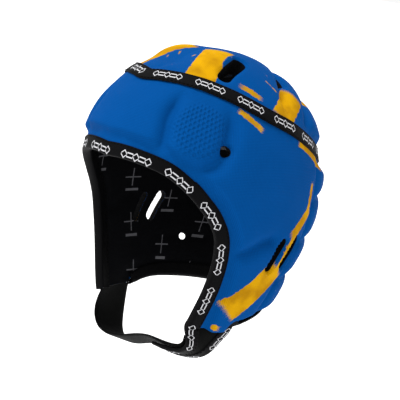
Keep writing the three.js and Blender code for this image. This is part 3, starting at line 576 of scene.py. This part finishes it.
chinForm = {
    "drop": 0.031, "forward": 0.009, "tilt": 25, "blend": 35, "squareness": 4,
    "sag": 0.0165, "sagAt": (140, 30),  # how deep the loose strap hangs, where and over how many degrees
    "slim": 0.5, "slimBy": 24, "taperBy": 55,
    "tabReach": 78, "tabTip": 0.022, "tapeReach": 68, "strapStart": 22,
    "strapWidth": 0.028, "strapNarrower": 0.003, "strapThickness": 0.0025,
}
flapTurns = np.array([faceHalf[-1, 0], neckHalf[0, 0]])
flapCorners = skinPoint(flapTurns, np.full(2, flapClimb), np.full(2, hemMiddle))
flapWidth = np.linalg.norm(flapCorners[1] - flapCorners[0])
flapMiddle = flapCorners.mean(0)


# Half a superellipse under the chin, from the left flap's end at 0 degrees to the right
# one's at 180, which also runs forward and sags where the loose strap leaves the flap.
def chinMiddle(degrees):
    across, down = np.cos(np.radians(degrees)), np.sin(np.radians(degrees))
    power = chinForm["squareness"]
    reach = (np.abs(across) ** power + np.abs(down) ** power) ** (-1 / power)
    sag = chinForm["sag"] * down * np.exp(-((degrees - chinForm["sagAt"][0]) / chinForm["sagAt"][1]) ** 2)
    return np.stack([flapMiddle[0] * across * reach, flapMiddle[1] - chinForm["forward"] * down,
                     flapMiddle[2] - chinForm["drop"] * down * reach - sag], -1)


# Points of the strap: share 0 of its width is the front edge. Near a flap it takes over
# the flap's bow and slope.
def chinPoint(degrees, share, width, lift):
    given = (np.asarray(value, float) for value in (degrees, share, width, lift))
    degrees, share, width, lift = np.broadcast_arrays(*given)
    lean = math.radians(chinForm["tilt"]) * np.sin(np.radians(degrees))
    zero = np.zeros_like(lean)
    across = np.stack([zero, np.cos(lean), -np.sin(lean)], -1)
    along = (chinMiddle(degrees + 0.5) - chinMiddle(degrees - 0.5)) * [1, 0, 1]
    normal = unit(np.cross(along, across))
    point = chinMiddle(degrees) + across * ((share - 0.5) * width)[..., None]
    left = degrees < 90
    mirror = np.stack([np.where(left, 1.0, -1.0), zero + 1, zero + 1], -1)
    flapShare = (1 - smoothStep(np.where(left, degrees, 180 - degrees) / chinForm["blend"]))[..., None]
    turn = flapTurns[0] + (flapTurns[1] - flapTurns[0]) * share
    climb = np.full(turn.shape, flapClimb)
    start = skinPoint(turn, climb, np.full(turn.shape, hemMiddle)) - flapMiddle
    start[..., 1] -= (share - 0.5) * flapWidth
    point = point + start * mirror * flapShare
    normal = unit(normal * (1 - flapShare) + formNormal(turn, climb) * mirror * flapShare)
    return point + normal * lift[..., None]


def tabWidth(degrees):
    taper = smoothStep(np.asarray(degrees) / chinForm["taperBy"])
    return flapWidth + (chinForm["tabTip"] - flapWidth) * taper


def tabSlimming(degrees):
    return 1 - (1 - chinForm["slim"]) * smoothStep(np.asarray(degrees) / chinForm["slimBy"])


def strapWidth(degrees):
    narrowing = np.sin(np.radians(degrees)) ** 2
    return flapWidth + (chinForm["strapWidth"] - flapWidth) * narrowing - chinForm["strapNarrower"]


# Points of the cloth beside an edge: each mark moves inward by away along the skin.
def besideEdge(marks, inward, away, lift):
    turn, climb, step = marks[:, 0], marks[:, 1], 0.002
    across = (formPoint(turn + step, climb) - formPoint(turn - step, climb)) / (2 * step)
    up = (formPoint(turn, climb + step) - formPoint(turn, climb - step)) / (2 * step)
    aa, au, uu = (np.sum(u * v, 1) for u, v in ((across, across), (across, up), (up, up)))
    wa, wu = np.sum(inward * across, 1), np.sum(inward * up, 1)
    square = aa * uu - au * au
    turns = turn[:, None] + ((wa * uu - wu * au) / square)[:, None] * away
    climbs = climb[:, None] + ((wu * aa - wa * au) / square)[:, None] * away
    return skinPoint(turns, climbs, hemMiddle + lift + 0 * turns)


def inwardOf(marks, closed):
    places = skinPoint(marks[:, 0], marks[:, 1], np.full(len(marks), hemMiddle))
    if closed:
        along = np.roll(places, -1, axis=0) - np.roll(places, 1, axis=0)
    else:
        along = np.gradient(places, axis=0)
    return unit(np.cross(formNormal(marks[:, 0], marks[:, 1]), unit(along)))


def lengthsAlong(points):
    return np.concatenate([[0], np.cumsum(np.linalg.norm(np.diff(points, axis=0), axis=1))])


tapeForm = {"width": 0.0100, "seamWidth": 0.0130, "thickness": 0.0009, "ease": 0.0003, "roll": 0.0016,
            "stitchInset": 0.0014, "pucker": 0.00012, "stitchPitch": 0.0034}


# A U laid on its side: along the outer leg to the edge, half an ellipse round it, and back
# along the inner leg. Gives inward, out and the length from the fold.
def foldedProfile():
    leg = hemHalf + tapeForm["ease"] + tapeForm["thickness"] / 2
    legIn = np.linspace(tapeForm["width"], 0, 9)
    bend = np.linspace(0, np.pi, 11)[1:-1]
    inward = np.concatenate([legIn, -tapeForm["roll"] * np.sin(bend), legIn[::-1]])
    out = np.concatenate([np.full(9, leg), leg * np.cos(bend), np.full(9, -leg)])
    along = lengthsAlong(np.stack([inward, out], 1))
    return inward, out, along[len(along) // 2] - along


# The profile's two faces, half a thickness to each side of its middle line.
def profileFaces(inward, out):
    slope = unit(np.stack([np.gradient(inward), np.gradient(out)], 1))
    side = np.stack([slope[:, 1], -slope[:, 0]], 1) * tapeForm["thickness"] / 2
    thin = np.ones(len(inward))
    thin[[0, -1]] = 0.45
    side *= thin[:, None]
    return (inward + side[:, 0], out + side[:, 1]), (inward - side[:, 0], out - side[:, 1])


# A tape folded over an edge of the cloth and on along an edge of the tab.
# Its outer leg may be shorter on the cloth than on the tab.
def edgeTape(name, marks, tabShare, tabFirst, outerShare, materials):
    inward, out, across = foldedProfile()
    fold = len(inward) // 2
    places = lengthsAlong(skinPoint(marks[:, 0], marks[:, 1], np.zeros(len(marks))))
    fromEnds = np.minimum(places, places[-1] - places)
    share = 1 + (outerShare - 1) * smoothStep(fromEnds / 0.008)
    clothShare = np.where(np.arange(len(inward)) < fold - 4, share[:, None], 1)
    tabDegrees = np.arange(0.7, chinForm["tapeReach"], 2.6)
    width = tabWidth(tabDegrees)[:, None]
    way = 1 if tabShare < 0.5 else -1
    layers = []
    for b, n in profileFaces(inward, out):
        cloth = besideEdge(marks, inwardOf(marks, False), b * clothShare, n)
        slim = n * tabSlimming(tabDegrees)[:, None]
        tab = chinPoint(tabDegrees[:, None], tabShare + way * b / width, width, slim)
        layers.append(np.vstack([tab[::-1], cloth]) if tabFirst else np.vstack([cloth, tab]))
    middle = layers[0][:, len(inward) // 2]
    length = lengthsAlong(middle)
    tabShares = np.ones((len(tabDegrees), len(inward)))
    shares = np.vstack([tabShares, clothShare] if tabFirst else [clothShare, tabShares])
    uv = np.stack(np.broadcast_arrays(length[:, None], across * shares), -1)
    shape = layers[0].shape[:2]
    quads, cornerUv = gridQuads(shape, uv, False)
    quads, cornerUv = quads[:, ::-1], cornerUv[:, ::-1]
    piece = layeredMesh(name, layers[0].reshape(-1, 3), layers[1].reshape(-1, 3), quads, cornerUv, materials)
    stitchAt = int(np.argmin(np.abs(inward[:fold] - tapeForm["width"] + tapeForm["stitchInset"])))
    innerAt = len(inward) - 1 - stitchAt
    rows = [(layers[0][:, k], unit(layers[0][:, k] - layers[1][:, k])) for k in (stitchAt, innerAt)]
    return piece, rows


# The flat tape over the crown's seam, a little crowned across.
def seamTape(name, materials):
    turns = np.linspace(-np.pi, np.pi, 300, endpoint=False)
    marks = np.stack([turns, seamClimb(turns)], 1)
    across = np.linspace(-tapeForm["seamWidth"] / 2, tapeForm["seamWidth"] / 2, 11)
    crown = 0.0004 * (1 - (across / across[-1]) ** 2)
    low = hemHalf + tapeForm["ease"] + crown * 0.6 + capForm["seamProud"] * seamFront(turns)[:, None]
    edge = np.where(np.abs(across) > 0.45 * tapeForm["seamWidth"], 0.5, 1)
    inward = inwardOf(marks, True)
    outer = besideEdge(marks, inward, across, low + tapeForm["thickness"] * edge + crown * 0.4)
    inner = besideEdge(marks, inward, across, low)
    closed = np.vstack([outer[:, 5], outer[:1, 5]])
    length = lengthsAlong(closed)
    uv = np.stack(np.broadcast_arrays(length[None, :], across[:, None]), -1)
    quads, cornerUv = gridQuads((11, 300), uv, True)
    outside, inside = (layer.transpose(1, 0, 2).reshape(-1, 3) for layer in (outer, inner))
    piece = layeredMesh(name, outside, inside, quads[:, ::-1], cornerUv[:, ::-1], materials)
    outer, inner = (np.vstack([layer, layer[:1]]) for layer in (outer, inner))
    return piece, [(outer[:, k], unit(outer[:, k] - inner[:, k])) for k in (1, 9)]


# Stitches as short spindles laid end to end: rings of six points whose size follows half
# an ellipse along the stitch, all in one mesh.
stitchForm = {"length": 0.0024, "width": 0.00032, "height": 0.00028}


def stitchRows(name, rows, material):
    vertices, faces = [], []
    offset = 0
    for points, normals in rows:
        along = lengthsAlong(points)
        count = int(along[-1] / tapeForm["stitchPitch"])
        at = (np.arange(count) + 0.5) * along[-1] / count
        centre = np.stack([np.interp(at, along, points[:, k]) for k in range(3)], 1)
        ahead = np.stack([np.interp(at + 0.0005, along, points[:, k]) for k in range(3)], 1)
        normal = unit(np.stack([np.interp(at, along, normals[:, k]) for k in range(3)], 1))
        forward = unit(ahead - centre)
        side = unit(np.cross(normal, forward))
        place = np.array([-1, -0.7, 0, 0.7, 1]) * stitchForm["length"] / 2
        size = np.array([0.25, 0.8, 1, 0.8, 0.25])
        angle = np.arange(6) * np.pi / 3
        wide = size[:, None] * np.cos(angle) * stitchForm["width"]
        high = size[:, None] * (np.sin(angle) + 0.4) * stitchForm["height"]
        ring = (centre[:, None, None] + forward[:, None, None] * place[:, None, None]
                + side[:, None, None] * wide[..., None] + normal[:, None, None] * high[..., None])
        vertices.append(ring.reshape(-1, 3))
        j, k = np.meshgrid(np.arange(4) * 6, np.arange(6), indexing="ij")
        after = (k + 1) % 6
        one = np.stack([j + k, j + after, j + 6 + after, j + 6 + k], -1).reshape(-1, 4)
        caps = np.array([[5, 4, 1, 0], [4, 3, 2, 1], [24, 25, 28, 29], [25, 26, 27, 28]])
        one = np.vstack([one, caps])
        faces.append((np.arange(count)[:, None, None] * 30 + one).reshape(-1, 4) + offset)
        offset += count * 30
    vertices, faces = np.vstack(vertices), np.vstack(faces)
    mesh = bpy.data.meshes.new(name)
    mesh.from_pydata(vertices, [], faces.tolist())
    mesh.polygons.foreach_set("use_smooth", np.ones(len(faces), bool))
    mesh.materials.append(material)
    piece = bpy.data.objects.new(name, mesh)
    scene.collection.objects.link(piece)
    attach(piece, "root")
    return piece


# A strap on the chin curve: faces half a thickness out, thinner along its two edges.
def chinBand(name, degrees, widths, thickness, inset, materials):
    shares = np.linspace(0, 1, 15)
    thickness = np.broadcast_to(thickness, degrees.shape)[:, None]
    edge = 1 - 0.6 * np.abs(2 * shares - 1) ** 12
    width = widths[:, None]
    outer = chinPoint(degrees[:, None], shares, width, thickness / 2 * edge - inset[:, None])
    inner = chinPoint(degrees[:, None], shares, width, -thickness / 2 * edge - inset[:, None])
    length = lengthsAlong(outer[:, 7])
    uv = np.stack(np.broadcast_arrays(length[:, None], (shares - 0.5) * flapWidth), -1)
    quads, cornerUv = gridQuads(outer.shape[:2], uv, False)
    return layeredMesh(name, outer.reshape(-1, 3), inner.reshape(-1, 3), quads, cornerUv, materials)


# ---- materials ----

# A number or vector in a shader. Each sum with it adds one Math node to its tree.
class Signal:
    def __init__(self, socket):
        self.socket = socket

    def math(self, operation, *others):
        return calc(self.socket.id_data, operation, self, *others)

    def __add__(self, other):
        return self.math("ADD", other)

    def __sub__(self, other):
        return self.math("SUBTRACT", other)

    def __rsub__(self, other):
        return calc(self.socket.id_data, "SUBTRACT", other, self)

    def __mul__(self, other):
        return self.math("MULTIPLY", other)

    def __truediv__(self, other):
        return self.math("DIVIDE", other)

    def __abs__(self):
        return self.math("ABSOLUTE")


def feed(tree, socket, value):
    if isinstance(value, Signal):
        tree.links.new(value.socket, socket)
    else:
        socket.default_value = value


def addNode(tree, kind, inputs, **settings):
    node = tree.nodes.new(kind)
    for key, value in settings.items():
        setattr(node, key, value)
    for key, value in inputs.items():
        feed(tree, node.inputs[key], value)
    return node


def fromNode(tree, kind, inputs, output=0, **settings):
    return Signal(addNode(tree, kind, inputs, **settings).outputs[output])


def signalsOf(node):
    return {socket.name: Signal(socket) for socket in node.outputs}


def calc(tree, operation, *values):
    return fromNode(tree, "ShaderNodeMath", dict(enumerate(values)), operation=operation)


def calcVector(operation, a, b):
    output = "Value" if operation in ("DOT_PRODUCT", "DISTANCE") else "Vector"
    second = "Scale" if operation == "SCALE" else 1
    return fromNode(a.socket.id_data, "ShaderNodeVectorMath", {0: a, second: b}, output, operation=operation)


def partsOf(vector):
    node = addNode(vector.socket.id_data, "ShaderNodeSeparateXYZ", {0: vector})
    return [Signal(socket) for socket in node.outputs]


# 3t^2 - 2t^3, where t runs from 0 at low to 1 at high
def between(value, low, high):
    inputs = {"Value": value, "From Min": low, "From Max": high}
    return fromNode(value.socket.id_data, "ShaderNodeMapRange", inputs, interpolation_type="SMOOTHSTEP")


# Noise round 0.5, of three dimensions or, with a seed, of four.
def noise(place, scale, detail, seed=None, roughness=0.5):
    inputs = {"Vector": place, "Scale": scale, "Detail": detail, "Roughness": roughness}
    if seed is not None:
        inputs["W"] = seed
    return fromNode(place.socket.id_data, "ShaderNodeTexNoise", inputs,
                    noise_dimensions="3D" if seed is None else "4D")


def mixColour(share, a, b):
    return fromNode(share.socket.id_data, "ShaderNodeMix", {0: share, 6: a, 7: b}, 2, data_type="RGBA")


# A group whose inputs are vectors where no number is given. Its outputs are numbers.
def newGroup(name, inputs, outputs):
    tree = bpy.data.node_groups.new(name, "ShaderNodeTree")
    for key, default in inputs.items():
        kind = "NodeSocketVector" if default is None else "NodeSocketFloat"
        socket = tree.interface.new_socket(key, in_out="INPUT", socket_type=kind)
        if default is not None:
            socket.default_value = default
    for key in outputs:
        tree.interface.new_socket(key, in_out="OUTPUT", socket_type="NodeSocketFloat")
    return tree, signalsOf(tree.nodes.new("NodeGroupInput")), tree.nodes.new("NodeGroupOutput").inputs


def useGroup(tree, group, values):
    return signalsOf(addNode(tree, "ShaderNodeGroup", values, node_tree=group))


# Knit: rows of slanted loops, two crossed waves of one pitch, in height and in painted shade that darkens the
# loops' gaps.
def makeKnit():
    tree, given, result = newGroup("knitWeave", {"Place": None, "Pitch": 0.0011, "Slant": 0.5},
                                   ("Height", "Shade"))
    x, y, _ = partsOf(given["Place"])
    u, v = x / given["Pitch"], y / given["Pitch"]
    lean = u.math("PINGPONG", 0.5) * given["Slant"]
    column = abs((u * math.pi).math("SINE"))
    row = ((v + lean) * (2 * math.pi)).math("SINE")
    height = column * 0.6 + row * 0.25
    feed(tree, result["Height"], height)
    # Shade is painted shade: a colour factor that is lower where the loops' gaps lie low.
    feed(tree, result["Shade"], height * 0.3 + 0.8)
    return tree


# Cloth tone: broad and fine noise, as a factor round 1.
def makeClothTone():
    tree, given, result = newGroup("clothTone", {"Place": None, "Amount": 0.1}, ("Tone",))
    broad, fine = (noise(given["Place"], scale, detail) for scale, detail in ((22, 3), (900, 2)))
    feed(tree, result["Tone"], (broad * 0.6 + fine * 0.4 - 0.5) * (given["Amount"] * 4) + 1)
    return tree


# Brush stroke between two points: distance from their line less the half width, with a
# ragged rim, and beyond either end the bristles stop at uneven lengths. Dry ones leave gaps.
def makeStroke():
    tree, given, result = newGroup("brushStroke", {
        "Place": None, "Grain": None, "Start": None, "End": None, "Half Width": 0.008, "Ragged": 0.003,
        "Dry": 0.3, "Seed": 0.0}, ("Mask",))
    arm = calcVector("SUBTRACT", given["End"], given["Start"])
    offset = calcVector("SUBTRACT", given["Place"], given["Start"])
    armSquare = calcVector("DOT_PRODUCT", arm, arm)
    share = calcVector("DOT_PRODUCT", offset, arm) / armSquare
    away = calcVector("DISTANCE", offset, calcVector("SCALE", arm, share))
    beyond = (0 - share).math("MAXIMUM", share - 1) * armSquare.math("SQRT")
    rough = noise(given["Grain"], 240, 3, given["Seed"], 0.7)
    bristle = noise(given["Grain"], 40, 2, away * 900 + given["Seed"])
    rim = (rough - 0.5) * (given["Ragged"] * 2.5) + (away - given["Half Width"])
    end = (bristle - 0.5) * (given["Ragged"] * 9) + beyond
    body = between(rim.math("MAXIMUM", end), 0.0003, -0.0003)
    dryness = given["Dry"] * 0.5
    feed(tree, result["Mask"], body * between(bristle, dryness + 0.13, dryness + 0.18))
    return tree


# Honeycomb dimples: three waves of one pitch at 60 degrees, summed.
def makeDimples():
    tree, given, result = newGroup("dimpleMesh", {"Place": None, "Pitch": 0.004}, ("Height",))
    x, y, _ = partsOf(given["Place"])
    waves = [((x * math.cos(angle) + y * math.sin(angle)) / given["Pitch"] * (2 * math.pi)).math("COSINE")
             for angle in (0, math.pi / 3, math.pi * 2 / 3)]
    feed(tree, result["Height"], (waves[0] + waves[1] + waves[2]) * -0.33)
    return tree


knitGroup, toneGroup, strokeGroup, dimpleGroup = makeKnit(), makeClothTone(), makeStroke(), makeDimples()


def newMaterial(name):
    material = bpy.data.materials.new(name)
    material.use_nodes = True
    tree = material.node_tree
    return material, tree, tree.nodes["Principled BSDF"]


def placeOf(tree):
    return fromNode(tree, "ShaderNodeTexCoord", {}, "Object")


def uvOf(tree):
    return fromNode(tree, "ShaderNodeUVMap", {}, uv_map="clothUv")


# Values that are the same all over a cloth, set on the shader's own sockets.
def setLook(shader, look):
    sockets = {"roughness": "Roughness", "specular": "Specular IOR Level", "sheen": "Sheen Weight"}
    for key, socket in sockets.items():
        shader.inputs[socket].default_value = look[key]


def addBump(tree, shader, height, distance, under=None):
    inputs = {"Height": height, "Distance": distance}
    if under is not None:
        inputs["Normal"] = under
    feed(tree, shader.inputs["Normal"], fromNode(tree, "ShaderNodeBump", inputs))


shellCloth = {
    "blue": (0.0003, 0.056, 0.228, 1),
    "paint": (0.55, 0.285, 0.002, 1), "paintDeep": (0.36, 0.17, 0.002, 1),
    "roughness": 0.8, "specular": 0.02, "sheen": 0.0, "tone": 0.07,
    "knitPitch": 0.0011, "knitHeight": 0.00012,
    # the temple mesh's pits take this much painted shade in their colour
    "meshPitch": 0.0036, "meshDepth": 0.0007, "meshPaintedShade": 0.045,
    "meshReach": (0.026, 0.018), "meshAt": (49, 0.45),
}
# Paint strokes by name: start and end on the cloth, half width, ragged edge in millimetres,
# and how dry the brush is. Band ends are turn and level, crown ends are seen from above.
bandStrokes = {
    "cheek": ((76, -0.68), (97, -0.42), 12, 1.6, 0.0),
    "between slots": ((97, -0.46), (104, -0.2), 3.6, 0.9, 0.0),
    "above slots": ((101, -0.24), (113, -0.1), 5, 1.8, 0.05),
    "rising tail": ((111, -0.13), (112, 0.07), 2.6, 1.6, 0.2),
    "low dab": ((68, -0.77), (75, -0.785), 2.4, 1.6, 0.3),
    "temple dash": ((68, 0.62), (80, 0.49), 2.6, 1.6, 0.42),
    "rear rim": ((103, 0.4), (128, 0.17), 3.8, 1.2, 0.05),
    "nape": ((141, -0.28), (166, -0.52), 9, 2.4, 0.15),
    "back dash": ((156, 0.03), (176, 0.07), 3, 2.2, 0.45),
}
crownStrokes = {
    "front block": ((0.41, -0.5), (0.15, -0.1), 12.5, 1.6, 0.0),
    "side patch": ((0.82, 0.06), (0.6, 0.33), 11, 1.8, 0.0),
    "brushed": ((0.58, -0.2), (0.7, -0.08), 2.6, 2.4, 0.45),
    "thin a": ((0.4, 0.02), (0.52, 0.02), 0.8, 0.9, 0.5),
    "thin b": ((0.36, 0.1), (0.5, 0.12), 0.8, 0.9, 0.5),
    "thin c": ((0.56, 0.06), (0.64, 0.12), 0.9, 0.9, 0.4),
    "front thin": ((0.02, -0.5), (0.14, -0.34), 0.9, 0.9, 0.45),
    "front thin b": ((0.0, -0.42), (0.09, -0.26), 0.8, 0.9, 0.5),
    "rear": ((0.3, 0.52), (0.44, 0.66), 6, 2, 0.15),
    "rear dash": ((0.02, 0.76), (0.2, 0.78), 3, 1.8, 0.4),
}


def strokesMask(tree, place, sidePlace, strokes, toMarks):
    total = None
    for seed, (start, end, half, ragged, dry) in enumerate(strokes.values()):
        ends = [formPoint(*mark) for mark in toMarks([start, end])]
        mask = useGroup(tree, strokeGroup, {
            "Place": sidePlace, "Grain": place, "Start": tuple(ends[0]), "End": tuple(ends[1]),
            "Half Width": half * mm, "Ragged": ragged * mm, "Dry": dry, "Seed": seed * 3.7})["Mask"]
        total = mask if total is None else total.math("MAXIMUM", mask)
    return total


# Blue knit with yellow paint on it, both with painted shade in the loops' gaps and in the temple's dimples.
# Strokes are placed on the left side and mirrored.
def shellMaterial(name, strokes, toMarks):
    material, tree, shader = newMaterial(name)
    place, uv = placeOf(tree), uvOf(tree)
    x, y, z = partsOf(place)
    sidePlace = fromNode(tree, "ShaderNodeCombineXYZ", {0: abs(x), 1: y, 2: z})
    knit = useGroup(tree, knitGroup, {"Place": uv, "Pitch": shellCloth["knitPitch"]})
    tone = useGroup(tree, toneGroup, {"Place": place, "Amount": shellCloth["tone"]})["Tone"]
    paint = strokesMask(tree, place, sidePlace, strokes, toMarks)
    yellow = mixColour(between(noise(place, 60, 2), 0.3, 0.7), shellCloth["paintDeep"], shellCloth["paint"])
    colour = mixColour(paint, shellCloth["blue"], yellow)
    temple = formPoint(*fromRows([shellCloth["meshAt"]])[0])
    nearTemple = between(calcVector("DISTANCE", sidePlace, tuple(temple)), *shellCloth["meshReach"])
    mesh = useGroup(tree, dimpleGroup, {"Place": uv, "Pitch": shellCloth["meshPitch"]})
    dimples = mesh["Height"] * nearTemple
    # Painted shade: the knit's gaps and the temple mesh's pits made darker in colour, times the random cloth
    # tone.
    shade = knit["Shade"] * tone * (dimples * shellCloth["meshPaintedShade"] + 1)
    feed(tree, shader.inputs["Base Color"], calcVector("SCALE", colour, shade))
    setLook(shader, shellCloth)
    under = fromNode(tree, "ShaderNodeBump", {"Height": dimples, "Distance": shellCloth["meshDepth"]})
    addBump(tree, shader, knit["Height"], shellCloth["knitHeight"], under)
    return material


darkCloth = {
    "lining": {"colour": (0.0022, 0.0024, 0.0032), "roughness": 0.85, "specular": 0.05, "sheen": 0.0,
               "pitch": 0.0014, "height": 0.0001},
    "foamEdge": {"colour": (0.003, 0.003, 0.0035), "roughness": 0.9, "specular": 0.05, "sheen": 0.0,
                 "pitch": 0.0009, "height": 0.0002},
    "tape": {"colour": (0.0018, 0.0018, 0.0022), "roughness": 0.6, "specular": 0.04, "sheen": 0.0,
             "pitch": 0.0007, "height": 0.0001},
    "strap": {"colour": (0.0012, 0.0014, 0.0013), "roughness": 0.6, "specular": 0.02, "sheen": 0.01,
              "pitch": 0.0010, "height": 0.00014},
}
darkTone = 0.15
tapeInk, liningInk = (0.52, 0.52, 0.54, 1), (0.10, 0.10, 0.11, 1)


# Dark knit with painted shade in its loops' gaps, and a mark in its own colour where one is given.
def darkMaterial(name, look, mark=None, ink=None, *place):
    material, tree, shader = newMaterial(name)
    uv = uvOf(tree)
    knit = useGroup(tree, knitGroup, {"Place": uv, "Pitch": look["pitch"]})
    tone = useGroup(tree, toneGroup, {"Place": placeOf(tree), "Amount": darkTone})["Tone"]
    # Colour scaled by the knit's painted shade in the loops' gaps and by the random tone.
    colour = fromNode(tree, "ShaderNodeVectorMath", {0: look["colour"], "Scale": knit["Shade"] * tone},
                      operation="SCALE")
    if mark is not None:
        colour = mixColour(mark(uv, *place), colour, ink)
    feed(tree, shader.inputs["Base Color"], colour)
    setLook(shader, look)
    addBump(tree, shader, knit["Height"], look["height"])
    return material


# A plain woven border: in each repeat a row of open rhombs with double bars between them.
tapeMotif = {"repeat": 0.036, "motifs": 5, "pitch": 0.0050, "half": 0.0027, "line": 0.00048, "soft": 0.0001,
             "faceMiddle": 0.0068, "seamMiddle": 0.0}


def tapeMark(uv, middle):
    x, y, _ = partsOf(uv)
    pitch, half, line, soft = (tapeMotif[key] for key in ("pitch", "half", "line", "soft"))
    u = x.math("WRAP", tapeMotif["repeat"], 0)
    v = abs(y - middle)
    cell = (u / pitch).math("FLOOR")
    inCell = abs(u - cell * pitch - pitch / 2)
    odd = cell.math("MODULO", 2)
    rhomb = abs(inCell * 1.1 + v - half * 1.15)
    bars = abs(v - half * 0.62).math("MAXIMUM", inCell - half * 0.8)
    ink = between(odd * bars + (1 - odd) * rhomb, line + soft, line - soft)
    return ink * cell.math("LESS_THAN", tapeMotif["motifs"] - 0.5)


# Sparse marks on the lining: a plus and, under it, a short bar, in staggered columns.
liningMotif = {"across": 0.044, "down": 0.044, "arm": 0.0085, "line": 0.00042, "soft": 0.0003,
               "bar": 0.007, "barBelow": 0.0125, "barHalf": 0.0011}


def liningMark(uv):
    x, y, _ = partsOf(uv)
    across, down, soft = (liningMotif[key] for key in ("across", "down", "soft"))

    def within(value, key):
        return between(value, liningMotif[key] + soft, liningMotif[key])

    column = (x / across).math("FLOOR")
    shift = abs(column).math("MODULO", 2) * (down / 2)
    fromColumn = abs(x - column * across - across / 2)
    fromRow = (y + shift).math("WRAP", down, 0) - down / 2
    ax, ay = fromColumn, abs(fromRow)
    plus = within(ax.math("MINIMUM", ay), "line") * within(ax.math("MAXIMUM", ay), "arm")
    bar = within(abs(fromRow + liningMotif["barBelow"]), "barHalf") * within(ax, "bar")
    return plus.math("MAXIMUM", bar)


bandCloth = shellMaterial("bandCloth", bandStrokes, fromRows)
crownCloth = shellMaterial("crownCloth", crownStrokes, fromAbove)
foamEdge = darkMaterial("foamEdge", darkCloth["foamEdge"])
liningCloth = darkMaterial("liningCloth", darkCloth["lining"], liningMark, liningInk)
tapeWeave = darkMaterial("tapeWeave", darkCloth["tape"], tapeMark, tapeInk, tapeMotif["faceMiddle"])
seamWeave = darkMaterial("seamWeave", darkCloth["tape"], tapeMark, tapeInk, tapeMotif["seamMiddle"])
strapWeave = darkMaterial("strapWeave", darkCloth["strap"])
threadDark = darkMaterial("threadDark", darkCloth["strap"])
print("materials made")


# ---- pieces ----

wrapPanel = paddedPanel("wrapPanel", bandGrid(432, 128), bandSlots, channels["band"], fromRows, True, 3,
                        [bandCloth, foamEdge])
print("band panel made")
crownPanel = paddedPanel("crownPanel", crownGrid(211), crownSlots, channels["crown"], fromAbove, False, 5,
                         [crownCloth, foamEdge])
wrapLining = liningSheet("wrapLining", bandGrid(260, 76), bandSlots, channels["band"], fromRows, True, 7,
                         [liningCloth])
crownLining = liningSheet("crownLining", crownGrid(131), crownSlots, channels["crown"], fromAbove, False, 9,
                          [liningCloth])
print("crown and linings made")

faceBinding, faceStitches = edgeTape("faceBinding", faceMarks, 0, False, 1, [tapeWeave])
neckBinding, neckStitches = edgeTape("neckBinding", neckMarks, 1, True, 0.2, [tapeWeave])
crownBinding, seamStitches = seamTape("crownBinding", [seamWeave])
tapeStitching = stitchRows("tapeStitching", faceStitches + neckStitches + seamStitches, threadDark)
print("tapes made")

tabDegrees = np.linspace(0.5, chinForm["tabReach"], 70)
tip = np.sqrt(np.clip(1 - smoothStep((tabDegrees - 72) / 8) ** 2 * 0.6, 0, 1))
chinTab = chinBand("chinTab", tabDegrees, tabWidth(tabDegrees) * tip, hemHalf * 2 * tabSlimming(tabDegrees),
                   0 * tabDegrees, [strapWeave])
strapDegrees = np.linspace(chinForm["strapStart"], 179.5, 120)
tuck = (hemHalf + 0.002) * tabSlimming(strapDegrees) + capForm["gap"] + chinForm["strapThickness"] / 2
tuck = tuck * (1 - smoothStep((strapDegrees - chinForm["tabReach"]) / chinForm["blend"]))
chinStrap = chinBand("chinStrap", strapDegrees, strapWidth(strapDegrees), chinForm["strapThickness"], tuck,
                     [strapWeave])
print("strap and tab made")

for piece, node, slot in ((wrapPanel, "wrap_panel", "shell"), (crownPanel, "crown_panel", "shell"),
                          (wrapLining, "wrap_lining", "lining"), (crownLining, "crown_lining", "lining"),
                          (faceBinding, "face_binding", "tape"), (neckBinding, "neck_binding", "tape"),
                          (crownBinding, "crown_binding", "tape"), (chinStrap, "chin_strap", "strap"),
                          (chinTab, "chin_tab", "strap")):
    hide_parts(node)


# ---- floor and light ----

studio = {
    "floorLevel": -1.2, "floorSize": 120, "floorColour": (0.93, 0.93, 0.93, 1), "sky": 0.95,
    "lights": [  # direction of each sun's place from the cap, breadth in degrees, strength
        {"name": "key", "from": (-0.25, -0.55, 1.5), "breadth": 22, "strength": 3.0},
        {"name": "side", "from": (-0.3, -1.2, 0.8), "breadth": 40, "strength": 0.5},
    ],
}


def makeStudio(look):
    mesh = bpy.data.meshes.new("floor")
    half = look["floorSize"] / 2
    corners = ((-half, -half), (half, -half), (half, half), (-half, half))
    mesh.from_pydata([(x, y, look["floorLevel"]) for x, y in corners], [], [(0, 1, 2, 3)])
    floor = bpy.data.objects.new("floor", mesh)
    scene.collection.objects.link(floor)
    material, tree, shader = newMaterial("floorPaper")
    shader.inputs["Base Color"].default_value = look["floorColour"]
    shader.inputs["Roughness"].default_value = 0.9
    mesh.materials.append(material)
    world = bpy.data.worlds.new("studioWorld")
    world.use_nodes = True
    world.node_tree.nodes["Background"].inputs[0].default_value = (1, 1, 1, 1)
    world.node_tree.nodes["Background"].inputs[1].default_value = look["sky"]
    scene.world = world
    for light in look["lights"]:
        data = bpy.data.lights.new(light["name"], "SUN")
        data.angle, data.energy = math.radians(light["breadth"]), light["strength"]
        lamp = bpy.data.objects.new(light["name"], data)
        scene.collection.objects.link(lamp)
        lamp.location = light["from"]
        lamp.rotation_euler = Vector(light["from"]).to_track_quat("Z", "Y").to_euler()


makeStudio(studio)
print("studio made")

bpy.context.view_layer.update()
